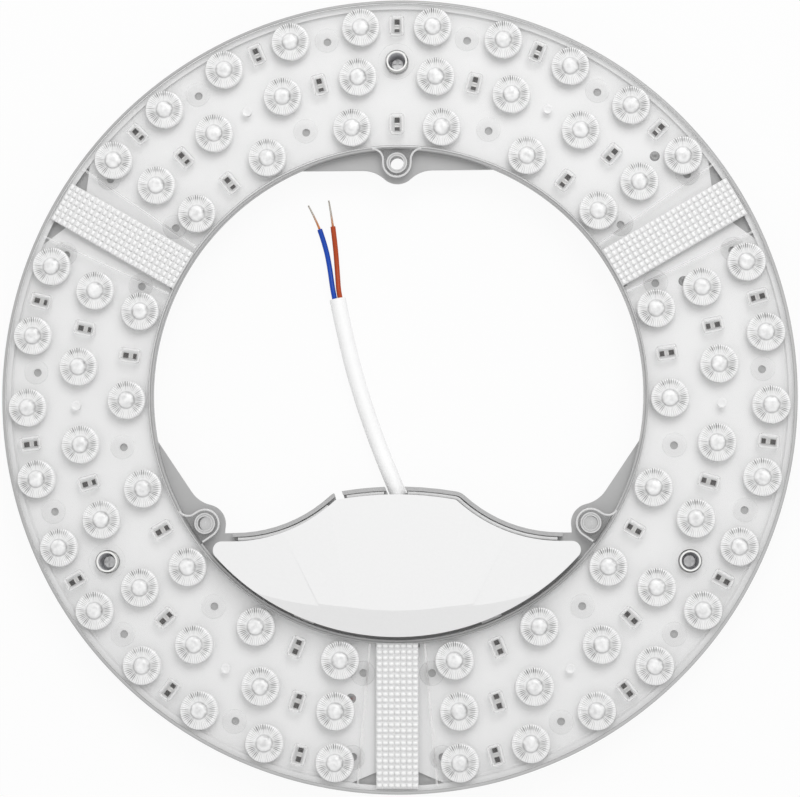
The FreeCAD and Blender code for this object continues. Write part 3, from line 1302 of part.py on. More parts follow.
def input_leads():
    """Two wires from the sheath's end in the pocket to the input terminal."""
    lead, pitch, sag = size("lead_diameter"), size("terminal_pitch"), size("lead_sag")
    sheath = cord_points()
    start, backward = sheath[0], (sheath[0] - sheath[1]).normalize()
    aside = Vector(-backward.y, backward.x, 0)
    near = terminal_face(1)
    level = driver_top + size("inlet_level")
    x = start.x + size("inlet_shift")
    entries = []
    for colour, side in (("blue", -1), ("brown", 1)):
        first = start + aside * side * (lead / 2 + size("lead_gap"))
        entry = Vector(x + side * pitch / 2, near - pitch / 2, level)
        before = Vector(entry.x, near + 2 * pitch - size("entry_depth") - lead, level - sag)
        points = [first, first + backward * size("lead_straight"), before, entry]
        entries.append(entry)
        wire = tube(f"inner_lead_{colour}", points, lead)
        named(feature(f"inner_{colour}", wire), f"inner_lead_{colour}")
    terminal("input_block", "input_terminal", x, 1, entries)


def output_leads():
    """Two wires from the driver, under the tray, up to the wire hole of the left board."""
    lead, pitch = size("lead_diameter"), size("terminal_pitch")
    level, face, middle = driver_top + size("outlet_level"), terminal_face(-1), size("outlet_x")
    under = tray_level - size("lead_drop")
    hole = at(size("wire_hole_circle"), BOARDS["left"] + size("wire_hole_turn"))
    rim = size("pocket_rim_radius")
    outlets = []
    for colour, side in (("black", -1), ("red", 1)):
        outlet = Vector(middle + side * pitch / 2, face + pitch / 2, level)
        aside = side * (lead / 2 + size("lead_gap"))
        points = [
            outlet,
            Vector(outlet.x, face - pitch / 2, level - size("lead_gap")),
            Vector(middle + aside, -rim + 2 * size("pocket_wall"), under + size("lead_gap")),
            Vector(middle + aside, -rim - 2 * pitch, under),
            Vector(hole.x + aside, hole.y, under),
            Vector(hole.x + aside, hole.y, board_top),
        ]
        outlets.append(outlet)
        wire = tube(f"output_lead_{colour}", points, lead)
        named(feature(f"output_{colour}", wire), f"output_lead_{colour}")
    terminal("output_block", "output_terminal", middle, -1, outlets)


def board_jumpers():
    """Two wires behind the tray that join the top board to the right one."""
    lead = size("lead_diameter")
    under = tray_level - size("lead_drop")
    near = at(size("wire_hole_circle"), BOARDS["right"] + size("wire_hole_turn"))
    far = at(size("wire_hole_outer_circle"), BOARDS["top"] - size("wire_hole_outer_turn"))
    along = (far - near).normalize()
    across = Vector(-along.y, along.x, 0)
    wires = []
    for side in (-1, 1):
        shift = across * side * (lead / 2 + size("lead_gap"))
        points = [
            Vector(near.x, near.y, board_top) + shift,
            Vector(near.x, near.y, under) + shift,
            Vector(far.x, far.y, under) + shift,
            Vector(far.x, far.y, board_top) + shift,
        ]
        wires.append(tube("board_jumper", points, lead))
    named(feature("jumpers", Part.makeCompound(wires)), "board_jumpers")


def seam_links():
    """Two flat links on the boards that join the left board to the top one."""
    length, width, thickness = (size(f"link_{part}") for part in ("length", "width", "thickness"))
    links = []
    for circle in ("inner", "outer"):
        corner = Vector(size(f"link_{circle}_circle") - width / 2, -length / 2, board_top)
        links.append(about_z(Part.makeBox(width, length, thickness, corner), SEAMS[1]))
    named(feature("links", Part.makeCompound(links)), "seam_links")


def check_everything():
    """Stop if an object failed, or if a sub-part has no valid solid."""
    for item in doc.Objects:
        if {"Invalid", "Error"} & set(item.State):
            raise ValueError(f"{item.Name} failed: {item.State}")
    for piece in NODES:
        shape = piece.Shape
        if shape.isNull() or not shape.isValid() or not shape.Solids:
            raise ValueError(f"{piece.Label} has no valid solid")
        box = shape.BoundBox
        print(f"{piece.Label}: {len(shape.Solids)} solids, {shape.Volume:.0f} mm3, "
              f"z {box.ZMin:.2f} to {box.ZMax:.2f}")


def export():
    """Write each sub-part to its own STEP file."""
    os.makedirs("parts", exist_ok=True)
    for piece in NODES:
        piece.Shape.exportStep(f"parts/{piece.Label}.step")


def main():
    lens_cover()
    base_tray()
    for board, centre in BOARDS.items():
        led_board(board, centre)
        board_parts(board, centre)
    screws = [magnet_set(board, centre) for board, centre in MAGNETS.items()]
    named(group("magnet_screw_group", screws), "magnet_screws")
    driver_cover()
    driver()
    cord_clamp()
    supply_lead()
    wiring()
    doc.recompute()
    check_everything()
    export()


main()
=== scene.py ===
# %% [markdown]
# # A ring of LEDs under a clear cover
#
# The object is a flat LED module for a ceiling lamp. A grey tray carries three white LED boards, one
# clear moulding with 72 lenses covers them, and a white cover inside the ring hides the driver. The
# CAD model holds every part at its real size. This lesson dresses it: it models again the parts whose
# fine forms the eye reads first, and gives every other part its finish.

# %% Load the CAD frame
import math

import bpy
from mathutils import Matrix, Vector


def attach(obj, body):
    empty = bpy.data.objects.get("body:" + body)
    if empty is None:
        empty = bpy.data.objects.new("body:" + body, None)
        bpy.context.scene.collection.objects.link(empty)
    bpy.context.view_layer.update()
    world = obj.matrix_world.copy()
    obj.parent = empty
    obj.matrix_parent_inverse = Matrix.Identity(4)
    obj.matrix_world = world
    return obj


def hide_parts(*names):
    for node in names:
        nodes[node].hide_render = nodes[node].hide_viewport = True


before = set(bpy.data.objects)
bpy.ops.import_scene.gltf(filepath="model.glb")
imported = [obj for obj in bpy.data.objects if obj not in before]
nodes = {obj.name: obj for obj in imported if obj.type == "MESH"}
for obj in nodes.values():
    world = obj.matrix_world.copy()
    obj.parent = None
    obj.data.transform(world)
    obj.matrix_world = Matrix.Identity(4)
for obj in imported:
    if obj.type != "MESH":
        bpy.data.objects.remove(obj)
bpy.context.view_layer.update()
MM = 0.001
print(len(nodes), "CAD nodes loaded")

# %% [markdown]
# ## Working with operators
#
# Each new piece is modelled as by hand: a primitive, then edit mode, then modifiers. An operator acts
# on all that is selected, so every step starts with nothing selected. A few helpers keep the steps
# short: one for edit mode, one that picks faces or points by their place, and one that applies a
# modifier.

# %% Helpers for modelling


def deselect():
    """Leave edit mode and deselect every object."""
    if bpy.context.object and bpy.context.object.mode != "OBJECT":
        bpy.ops.object.mode_set(mode="OBJECT")
    bpy.ops.object.select_all(action="DESELECT")


def activate(piece):
    """Select one object alone."""
    deselect()
    piece.select_set(True)
    bpy.context.view_layer.objects.active = piece


def edit(piece):
    """Enter edit mode on one object with nothing selected in it."""
    activate(piece)
    bpy.ops.object.mode_set(mode="EDIT")
    bpy.ops.mesh.select_all(action="DESELECT")


def pick(piece, kind, wanted):
    """Select the vertices, edges or faces of a piece for which wanted() says yes."""
    bpy.ops.object.mode_set(mode="OBJECT")
    chosen = [item for item in getattr(piece.data, kind) if wanted(item)]
    for item in piece.data.vertices[:] + piece.data.edges[:] + piece.data.polygons[:]:
        item.select = False
    for item in chosen:
        item.select = True
    bpy.ops.object.mode_set(mode="EDIT")
    mode = {"vertices": "VERT", "edges": "EDGE", "polygons": "FACE"}[kind]
    bpy.ops.mesh.select_mode(type=mode)
    return len(chosen)


def modify(piece, kind, **settings):
    """Add a modifier, set it and apply it."""
    activate(piece)
    modifier = piece.modifiers.new(kind.title(), kind)
    for name, value in settings.items():
        setattr(modifier, name, value)
    bpy.ops.object.modifier_apply(modifier=modifier.name)


def settle(piece):
    """Move the place of an object into its mesh, so that the object itself sits at the origin."""
    activate(piece)
    bpy.ops.object.transform_apply(location=True, rotation=True, scale=True)


def smooth(piece, degrees=35):
    """Shade a piece smooth, apart from edges sharper than this."""
    activate(piece)
    bpy.ops.object.shade_smooth_by_angle(angle=math.radians(degrees))


def join(name, pieces):
    """Join separate meshes into one object at the origin."""
    for piece in pieces:
        settle(piece)
    deselect()
    for piece in pieces:
        piece.select_set(True)
    bpy.context.view_layer.objects.active = pieces[0]
    if len(pieces) > 1:
        bpy.ops.object.join()
    pieces[0].name = pieces[0].data.name = name
    return pieces[0]


def copy_to(piece, places):
    """A copy of a piece, with its own mesh, at each (x, y, z, angle) in mm and degrees."""
    made = []
    for x, y, z, angle in places:
        twin = piece.copy()
        twin.data = piece.data.copy()
        bpy.context.collection.objects.link(twin)
        twin.matrix_world = Matrix.Translation(Vector((x, y, z)) * MM) @ Matrix.Rotation(
            math.radians(angle), 4, "Z"
        )
        made.append(twin)
    bpy.data.objects.remove(piece)
    return made


def carve(piece, tool, operation="DIFFERENCE"):
    """Cut a closed tool out of a piece, or join it to the piece, and remove the tool."""
    modify(piece, "BOOLEAN", object=tool, operation=operation, solver="EXACT")
    bpy.data.objects.remove(tool)


# %% [markdown]
# ## Turning a profile
#
# Most parts here are round: lenses, sleeves, screws, the ring itself. They are made as on a lathe. One
# point is extruded along the profile, and the spin operator carries that chain once round the axis.

# %% The lathe


def lathe(name, profile, steps):
    """Turn a chain of (radius, height) points in mm once round the Z axis."""
    deselect()
    bpy.ops.mesh.primitive_plane_add(size=MM)
    piece = bpy.context.object
    piece.name = piece.data.name = name
    bpy.ops.object.mode_set(mode="EDIT")
    bpy.ops.mesh.select_mode(type="VERT")
    bpy.ops.mesh.select_all(action="SELECT")
    bpy.ops.mesh.merge(type="CENTER")
    radius, height = profile[0]
    bpy.ops.transform.translate(value=(radius * MM, 0, height * MM))
    for (r0, z0), (r1, z1) in zip(profile, profile[1:]):
        step = ((r1 - r0) * MM, 0, (z1 - z0) * MM)
        bpy.ops.mesh.extrude_region_move(TRANSFORM_OT_translate={"value": step})
    bpy.ops.mesh.select_all(action="SELECT")
    bpy.ops.mesh.spin(steps=steps, angle=2 * math.pi, center=(0, 0, 0), axis=(0, 0, 1))
    bpy.ops.mesh.select_all(action="SELECT")
    bpy.ops.mesh.remove_doubles(threshold=0.002 * MM)
    bpy.ops.mesh.normals_make_consistent(inside=False)
    bpy.ops.object.mode_set(mode="OBJECT")
    return piece


def disc(name, radius, low, high, place=(0, 0), steps=48):
    """A plain closed disc, used as a blank or as a cutting tool."""
    piece = lathe(name, [(0, low), (radius, low), (radius, high), (0, high)], steps)
    piece.location = (place[0] * MM, place[1] * MM, 0)
    settle(piece)
    return piece


def polar(radius, angle):
    """The point at this radius in mm and this angle in degrees."""
    return radius * math.cos(math.radians(angle)), radius * math.sin(math.radians(angle))


# %% [markdown]
# ## Sizes of the module
#
# The CAD model and this scene share one frame, so the main sizes are stated once here, in mm: the
# heights from the magnets' faces up, the circles of the three rows of lenses, and the angles of the
# boards, seams and ears.

# %% Sizes

BOARDS = (90, 210, 330)
SEAMS = (30, 150, 270)
EARS = (90, 214, 326)
ROWS = {
    "outer": (140.1, 11.2, 10, (-4, -2, 0, 2, 4)),
    "middle": (121.225, 14.0, 8, (-3, -1, 1, 3)),
    "inner": (102.35, 19.17, 6, (-2, 0, 2)),
}
TRAY_UNDER, FLOOR_TOP, BOARD_TOP = 10.0, 11.5, 12.5
PLATE_UNDER, PLATE_TOP = 14.0, 15.6
MAGNET_CIRCLE, EAR_CIRCLE, PEG_CIRCLE = 126.3, 87.4, 121.7
COVER_INNER, SKIRT_INSIDE = 92.5, 93.7
VENTS = [(137.2, side * turn) for turn in (11.2, 33.6, 53.0) for side in (-1, 1)] + [
    (105.7, side * turn) for turn in (19.17, 53.0) for side in (-1, 1)
]


def row_places(kind, level):
    """Places of every lens or window of the module at one height."""
    places = []
    for board in BOARDS:
        for radius, step, count, windows in ROWS.values():
            steps = windows if kind == "window" else [i - (count - 1) / 2 for i in range(count)]
            for number in steps:
                angle = board + number * step
                places.append((*polar(radius, angle), level, angle))
    return places


print(len(row_places("lens", 0)), "lenses,", len(row_places("window", 0)), "windows")

# %% [markdown]
# ## The camera
#
# The photograph is taken from almost straight above and from about a metre away, a little to the right
# of the middle and below it. The position and the slight turns come from fitting the rows of lenses to
# the picture.

# %% Camera

camera = bpy.data.objects.new("camera", bpy.data.cameras.new("camera"))
bpy.context.scene.collection.objects.link(camera)
camera.data.sensor_width = 36
camera.data.lens = 120.25
camera.data.clip_start = 0.01
turn = (
    Matrix.Rotation(math.radians(4.141), 4, "X")
    @ Matrix.Rotation(math.radians(2.778), 4, "Y")
    @ Matrix.Rotation(math.radians(-0.255), 4, "Z")
)
camera.matrix_world = Matrix.Translation((0.04983, -0.07452, 1.017)) @ turn
bpy.context.scene.camera = camera

# %% [markdown]
# ## Materials
#
# One function turns a hex colour into the linear values that Blender counts in, and one adds a node
# with its settings and links. Every finish below starts from what the real material is.

# %% Helpers for materials


def colour(code):
    """An sRGB hex code as linear red, green, blue and alpha."""
    parts = [int(code[i : i + 2], 16) / 255 for i in (1, 3, 5)]
    return tuple(c / 12.92 if c <= 0.04045 else ((c + 0.055) / 1.055) ** 2.4 for c in parts) + (1.0,)


def add(material, kind, links=(), **settings):
    """Add a node: settings are its properties or the values of its inputs, and each link is
    (socket of another node, input of this one)."""
    node = material.node_tree.nodes.new(kind)
    for name, value in settings.items():
        name = name.replace("_", " ") if name.replace("_", " ") in node.inputs else name
        if name in node.inputs:
            node.inputs[name].default_value = value
        else:
            setattr(node, name, value)
    for source, name in links:
        material.node_tree.links.new(source, node.inputs[name])
    return node


def new_material(name):
    """An empty material with its output node."""
    material = bpy.data.materials.new(name)
    material.use_nodes = True
    material.node_tree.nodes.clear()
    return material


def end(material, shader):
    """Connect the last shader to the output."""
    add(material, "ShaderNodeOutputMaterial", [(shader, "Surface")])
    return material


def moulded(name, low, high, grain_mm, roughness, bump=0.0, **settings):
    """Moulded or coated surface: two close tones mixed by a soft noise, and a fine bump. The
    grain is given in mm."""
    material = new_material(name)
    place = add(material, "ShaderNodeTexCoord").outputs["Object"]
    noise = add(material, "ShaderNodeTexNoise", [(place, "Vector")], Scale=1 / (grain_mm * MM), Detail=3.0)
    ramp = add(material, "ShaderNodeMix", [(noise.outputs["Fac"], "Factor")], data_type="RGBA")
    ramp.inputs[6].default_value, ramp.inputs[7].default_value = colour(low), colour(high)
    shader = add(
        material, "ShaderNodeBsdfPrincipled", [(ramp.outputs[2], "Base Color")], Roughness=roughness, **settings
    )
    if bump:
        relief = add(
            material, "ShaderNodeBump", [(noise.outputs["Fac"], "Height")], Strength=0.5, Distance=bump * MM
        )
        material.node_tree.links.new(relief.outputs["Normal"], shader.inputs["Normal"])
    return end(material, shader.outputs["BSDF"])


def dress(name, material, slot_name=None):
    """Give a CAD node its finish."""
    node = nodes[name]
    node.data.materials.clear()
    node.data.materials.append(material)
    return node


# %% [markdown]
# ## Clear parts
#
# The cover is one moulding of clear PMMA. It is glossy, its index is 1.49, and seen from above it
# mostly shows the white board below. A path tracer would need thousands of samples to light that
# board through real refraction, so the plastic is drawn as a thin glossy film: the alpha says how much
# of the board it hides. Thick, ribbed places such as the lenses scatter more and hide more.

# %% Clear finishes

clear = moulded("clear_pmma_plate", "#EDEDED", "#F4F4F4", 18, 0.1, 0.02, IOR=1.49, Alpha=0.025)
# Grey of the cover's sides, skirts and outer band: painted shade of the clear edges.
clear_edge = moulded("clear_pmma_edge", "#A8A8A8", "#B8B8B8", 9, 0.15, IOR=1.49, Alpha=0.85)
clear_rim = moulded("clear_pmma_rim", "#EAEAEA", "#EFEFEF", 9, 0.12, IOR=1.49, Alpha=0.2)
# Opaque white ledge under the rim: painted light over the dark gap and shadow there.
clear_ledge_painted_light = moulded("clear_pmma_ledge", "#ECECEC", "#F1F1F1", 9, 0.2, IOR=1.49)
# Grey of the cover's inner edge: painted shade of the clear edge.
clear_lip = moulded("clear_pmma_lip", "#D4D4D4", "#DEDEDE", 9, 0.12, IOR=1.49, Alpha=0.62)
# Grey film over the ear caps: painted shade.
clear_ear = moulded("clear_pmma_ear", "#A2A2A2", "#ACACAC", 6, 0.08, IOR=1.49, Alpha=0.3)
clear_form = moulded("clear_pmma_form", "#F8F8F8", "#FDFDFD", 6, 0.08, IOR=1.49, Alpha=0.78)
# Window sides whiter and less clear than their tops: painted highlight.
clear_side = moulded("clear_pmma_side", "#FBFBFB", "#FFFFFF", 6, 0.08, IOR=1.49, Alpha=0.5)
# Ear lips and bezels drawn white and half clear: painted highlight.
clear_glint = moulded("clear_pmma_glint", "#F8F8F8", "#FFFFFF", 3, 0.06, IOR=1.49, Alpha=0.6)
# Prism beads near-opaque white: painted highlight of the clear prism tips.
clear_bead = moulded("clear_pmma_bead", "#FFFFFF", "#F6F6F6", 0.9, 0.06, IOR=1.49, Alpha=0.97)
clear_flank = moulded("clear_pmma_flank", "#F0F0F0", "#FFFFFF", 1.6, 0.1, IOR=1.49, Alpha=0.9)
clear_guide = moulded("clear_pmma_guide", "#F2F2F2", "#FAFAFA", 5, 0.1, IOR=1.49, Alpha=0.3)
# Faint grey ring at each vent pad's edge: painted shade.
clear_pad = moulded("clear_pmma_pad", "#D2D2D2", "#DCDCDC", 4, 0.1, IOR=1.49, Alpha=0.14)
# Grey ring of each wire joint: painted shade.
clear_pin = moulded("clear_pmma_pin", "#9C9C9C", "#AAAAAA", 1.6, 0.1, IOR=1.49, Alpha=0.7)


def shaded(name, light, dark, shade_patch_mm, low, high, **settings):
    """Clear PMMA with painted shade: the attribute shade turns light to dark, and a soft noise makes
    the painted shade stronger in some places than in others."""
    material = new_material(name)
    shade = add(material, "ShaderNodeAttribute", attribute_name="shade")
    place = add(material, "ShaderNodeTexCoord").outputs["Object"]
    noise = add(material, "ShaderNodeTexNoise", [(place, "Vector")], Scale=1 / (shade_patch_mm * MM), Detail=2.0)
    depth = add(material, "ShaderNodeMapRange", [(noise.outputs["Fac"], "Value")])
    depth.inputs["From Min"].default_value, depth.inputs["From Max"].default_value = 0.3, 0.7
    depth.inputs["To Min"].default_value, depth.inputs["To Max"].default_value = low, high
    amount = add(material, "ShaderNodeMath", [(shade.outputs["Fac"], 0), (depth.outputs[0], 1)])
    amount.operation = "MULTIPLY"
    amount.use_clamp = True
    tone = add(material, "ShaderNodeMix", [(amount.outputs[0], "Factor")], data_type="RGBA")
    tone.inputs[6].default_value, tone.inputs[7].default_value = colour(light), colour(dark)
    shader = add(material, "ShaderNodeBsdfPrincipled", [(tone.outputs[2], "Base Color")], IOR=1.49, **settings)
    return end(material, shader.outputs["BSDF"])


# Lenses and domes: their grey is painted shade, read from the attribute shade.
clear_lens = shaded("clear_pmma_lens", "#FFFFFF", "#585858", 5.0, 0.8, 1.15, Roughness=0.12, Alpha=0.96)
clear_dome = shaded("clear_pmma_dome", "#FFFFFF", "#8C8C8C", 2.2, 0.0, 1.6, Roughness=0.06, Alpha=0.97)

# %% [markdown]
# ## Solid parts
#
# The tray is light grey ABS from a polished mould, the driver cover is white ABS with a fine grain,
# and the boards are aluminium under white solder mask. Screws and magnet pots are nickel-plated steel.

# %% Solid finishes

grey_abs = moulded("grey_abs_tray", "#AEAEAE", "#B8B8B8", 8, 0.42, 0.03)
# The band rib is lighter than the tray it belongs to: painted light in the gap by the band.
rib_painted_light = moulded("grey_abs_rib_painted_light", "#C8C8C8", "#E4E4E4", 6, 0.2)
white_abs = moulded("white_abs_driver_cover", "#F0F0F0", "#F4F4F4", 0.9, 0.5, 0.02)
solder_mask = moulded("white_solder_mask", "#ECECEC", "#F1F1F1", 14, 0.35, 0.01)
nylon = moulded("white_nylon_sleeve", "#F3F3F1", "#FAFAF8", 4, 0.3)
# Bore of the white sleeve drawn grey: painted shade in the hole.
bore_painted_shade = moulded("sleeve_bore_painted_shade", "#DADADC", "#E6E6E8", 1.2, 0.3)
# Dark middle of each wire joint: painted shade in its shallow hollow.
pin_painted_shade = moulded("pin_hollow_painted_shade", "#6E6E6E", "#7A7A7A", 1.2, 0.3)
steel = moulded("nickel_plated_steel", "#B9B7B2", "#D2D0CC", 1.5, 0.28, 0.01, Metallic=1.0)
bright_steel = moulded("zinc_plated_steel", "#D6D6D6", "#E6E6E6", 1.0, 0.25, Metallic=0.4)
ferrite = moulded("sintered_ferrite", "#2B2B2D", "#3A3A3C", 0.6, 0.7, 0.05)
magnet_coat = moulded("nickel_coated_magnet", "#A9A8A6", "#C3C2BF", 2.0, 0.3, Metallic=1.0)
epoxy = moulded("black_epoxy_package", "#1D1C1C", "#2A2928", 0.7, 0.5, 0.02)
resistor_black = moulded("resistor_overglaze", "#26211F", "#312B29", 0.5, 0.45)
tin = moulded("tinned_terminal", "#EEEDEB", "#F8F7F6", 0.6, 0.35, Metallic=0.4)
led_body = moulded("white_ppa_led_package", "#EDEDEA", "#F6F6F4", 0.8, 0.45)
phosphor = moulded("led_phosphor", "#EFE9C4", "#F5F0D2", 0.4, 0.55)
fr4 = moulded("fr4_circuit_board", "#2F6B3C", "#3B7B48", 3.0, 0.4, 0.02)
tape = moulded("polyester_winding_tape", "#D8B740", "#E6C955", 1.5, 0.3, 0.02)
film = moulded("yellow_film_capacitor", "#D9B32C", "#E5C24A", 2.0, 0.4)
sleeve_black = moulded("capacitor_sleeve", "#1E2024", "#2C2F35", 1.2, 0.35)
ceramic = moulded("fuse_ceramic", "#E6E2D6", "#F1EEE5", 0.8, 0.5)
terminal_green = moulded("terminal_polyamide", "#2F7D46", "#3A8C53", 1.5, 0.5)
clamp_white = moulded("nylon_clamp", "#E4E3DE", "#EDECE8", 1.2, 0.5)
pvc_red = moulded("red_pvc_wire", "#A81E1A", "#B82A24", 2.0, 0.4)
pvc_black = moulded("black_pvc_wire", "#1A1A1B", "#262627", 2.0, 0.4)
pvc_grey = moulded("grey_pvc_wire", "#6C6C6C", "#7A7A7A", 2.0, 0.4)
sheath_white = moulded("white_pvc_sheath", "#F9F9F9", "#FDFDFD", 5.0, 0.5, 0.02)
core_blue = moulded("blue_pvc_core", "#0A3FA6", "#0F49B4", 3.0, 0.3, Specular_IOR_Level=0.25)
core_brown = moulded("brown_pvc_core", "#A83E12", "#B5481C", 3.0, 0.3, Specular_IOR_Level=0.25)

FINISHES = {
    "base_tray": grey_abs, "driver_cover": white_abs, "driver_board": fr4, "driver_chip": epoxy,
    "driver_board_screws": steel, "cord_clamp": clamp_white, "cord_clamp_screws": steel,
    "bridge_rectifier": epoxy, "film_capacitor": film, "fuse": ceramic, "input_choke": ferrite,
    "input_capacitor": sleeve_black, "output_capacitor": sleeve_black, "output_diode": epoxy,
    "input_terminal": terminal_green, "output_terminal": terminal_green,
    "transformer_core": ferrite, "transformer_winding": tape, "magnet_screws": bright_steel,
    "inner_lead_blue": core_blue, "inner_lead_brown": core_brown, "seam_links": tin,
    "output_lead_red": pvc_red, "output_lead_black": pvc_black, "board_jumpers": pvc_grey,
}
for side in ("top", "left", "right"):
    FINISHES |= {
        f"led_board_{side}": solder_mask, f"magnet_cup_{side}": steel, f"magnet_ring_{side}": magnet_coat,
        f"leds_{side}": led_body,
    }
for name, material in FINISHES.items():
    dress(name, material)
print(len(FINISHES), "nodes dressed")

# %% [markdown]
# ## The supply lead
#
# A round white lead of 6.2 mm leaves the driver's pocket under the band, drops to the floor and runs on
# in an easy bend. Where its sheath ends, two cores go on side by side and part a little. It is one
# smooth NURBS curve whose control points are the CAD route's points.

# %% Sheath and cores

SHEATH = [
    (4.45, -48.3, 6.8), (-1.56, -33.9, 6.8), (-7.9, -18.7, 3.1), (-14.0, -1.2, 3.1), (-19.4, 17.9, 3.1),
    (-23.38, 37.1, 3.1),
]
BLUE = [
    (-24.42, 36.88, 3.1), (-25.07, 40.02, 3.1), (-25.75, 44.2, 2.3), (-26.5, 49.2, 0.975),
    (-28.0, 57.2, 0.975), (-30.4, 64.2, 0.975),
]
BROWN = [
    (-22.35, 37.31, 3.1), (-23.0, 40.45, 3.1), (-23.3, 44.7, 2.3), (-23.75, 49.8, 0.975),
    (-24.35, 57.6, 0.975), (-25.33, 65.3, 0.975),
]


def cable(name, points, diameter, material):
    """A round cable along one smooth NURBS curve through control points in mm."""
    curve = bpy.data.curves.new(name, "CURVE")
    curve.dimensions = "3D"
    spline = curve.splines.new("NURBS")
    spline.points.add(len(points) - 1)
    for point, place in zip(spline.points, points):
        point.co = (*(Vector(place) * MM), 1)
    spline.order_u = 3
    spline.use_endpoint_u = True
    spline.resolution_u = 12
    curve.bevel_depth = diameter / 2 * MM
    curve.bevel_resolution = 6
    curve.use_fill_caps = True
    piece = bpy.data.objects.new(name, curve)
    bpy.context.collection.objects.link(piece)
    curve.materials.append(material)
    return piece


sheath = cable("sheath", SHEATH, 6.2, sheath_white)
blue = cable("blue_core", BLUE, 1.95, core_blue)
brown = cable("brown_core", BROWN, 1.95, core_brown)
for piece, node in ((sheath, "cord_sheath"), (blue, "core_blue"), (brown, "core_brown")):
    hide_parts(node)
    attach(piece, "root")

# %% [markdown]
# ## Stripped ends
#
# Each core ends in about ten millimetres of bare strands, twisted to a point. Seven thin wires wind
# round the route of the CAD solid. They are copper, bright and warm where the insulation was cut, with
# a thin coat of tin that shows more towards the tip.

# %% Twisted strands


def strand_metal():
    """Tinned copper: warm at the insulation, silvery towards the tip, by height along Y."""
    material = new_material("tinned_copper_strands")
    place = add(material, "ShaderNodeTexCoord").outputs["Object"]
    parts = add(material, "ShaderNodeSeparateXYZ", [(place, "Vector")])
    along = add(material, "ShaderNodeMapRange", [(parts.outputs["Y"], "Value")])
    along.inputs["From Min"].default_value, along.inputs["From Max"].default_value = 0.0645, 0.0705
    noise = add(material, "ShaderNodeTexNoise", [(place, "Vector")], Scale=1 / (0.5 * MM))
    blend = add(material, "ShaderNodeMath", [(along.outputs[0], 0), (noise.outputs["Fac"], 1)])
    blend.operation = "MULTIPLY"
    tone = add(material, "ShaderNodeMix", [(along.outputs[0], "Factor")], data_type="RGBA")
    tone.inputs[6].default_value, tone.inputs[7].default_value = colour("#D98A4E"), colour("#B8B2AA")
    shader = add(
        material, "ShaderNodeBsdfPrincipled", [(tone.outputs[2], "Base Color")], Metallic=0.85, Roughness=0.35
    )
    return end(material, shader.outputs["BSDF"])


strand_tin = strand_metal()


def route_points(points):
    """The smooth line through control points, read from a curve with no bevel."""
    guide = cable("guide", points, 0.0, strand_tin)
    guide.data.bevel_depth = 0
    guide.data.resolution_u = 24
    guide.data.splines[0].resolution_u = 24
    line = bpy.data.meshes.new_from_object(guide)
    places = [vertex.co.copy() for vertex in line.vertices]
    bpy.data.objects.remove(guide)
    bpy.data.meshes.remove(line)
    return places


def twisted(name, points, strands=7, turns=2.6, bundle=0.34, wire=0.13):
    """Thin wires wound round a route, tighter towards the tip."""
    path = route_points(points)
    wires = []
    for number in range(strands):
        middle = number == 0
        curve = bpy.data.curves.new(f"{name}_{number}", "CURVE")
        curve.dimensions = "3D"
        spline = curve.splines.new("POLY")
        spline.points.add(len(path) - 1)
        length = len(path) - 1 - (number % 3)
        for index, place in enumerate(path):
            share = min(index, length) / (len(path) - 1)
            ahead = (path[min(index + 1, len(path) - 1)] - path[max(index - 1, 0)]).normalized()
            side = ahead.cross(Vector((0, 0, 1))).normalized()
            up = side.cross(ahead)
            angle = 2 * math.pi * (turns * share + number / (strands - 1))
            reach = 0 if middle else bundle * MM * (1 - 0.45 * share)
            offset = side * math.cos(angle) * reach + up * math.sin(angle) * reach
            spline.points[index].co = (*(path[min(index, length)] + offset), 1)
        curve.bevel_depth = wire * MM
        curve.bevel_resolution = 2
        curve.use_fill_caps = True
        piece = bpy.data.objects.new(f"{name}_{number}", curve)
        bpy.context.collection.objects.link(piece)
        activate(piece)
        bpy.ops.object.convert(target="MESH")
        wires.append(bpy.context.object)
    bundle_piece = join(name, wires)
    bundle_piece.data.materials.clear()
    bundle_piece.data.materials.append(strand_tin)
    smooth(bundle_piece, 60)
    return bundle_piece


BLUE_END = [(-30.4, 64.2, 0.975), (-32.2, 68.7, 0.75), (-34.85, 73.6, 0.5)]
BROWN_END = [(-25.33, 65.3, 0.975), (-26.0, 70.3, 0.75), (-26.99, 75.5, 0.5)]
blue_strands = twisted("blue_strands", BLUE_END)
brown_strands = twisted("brown_strands", BROWN_END)
for piece, node in ((blue_strands, "strands_blue"), (brown_strands, "strands_brown")):
    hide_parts(node)
    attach(piece, "root")

# %% [markdown]
# ## The plate of the clear cover
#
# The cover's section is an upside-down tray: a plate 1.6 mm thick, a skirt down each side, and a small
# rounding along the rim. That section is turned once round. Pads for the three magnet screws and the
# three ears are joined to it, and the holes are cut last.

# %% Cover plate

ring_section = [
    (149.95, 10.0), (149.95, 14.8), (149.85, 15.2), (149.6, 15.45), (149.2, 15.6), (148.9, 15.6), (148.75, 15.42),
    (148.6, 15.6), (146.9, 15.6), (145.3, 15.6), (94.25, 15.6), (94.15, 15.5), (94.05, 15.6), (93.6, 15.6), (93.4, 15.42),
    (93.2, 15.6), (92.85, 15.6), (92.6, 15.5), (92.5, 15.2), (92.5, 11.5), (93.7, 11.5), (93.7, 14.0), (148.8, 14.0),
    (148.8, 10.0), (149.95, 10.0),
]
FLARE, CAP_RADIUS, EAR_INSET = 3.7, 5.6, COVER_INNER - EAR_CIRCLE
FLARES = {90: (-1, 1), 214: (-1,), 326: (1,)}


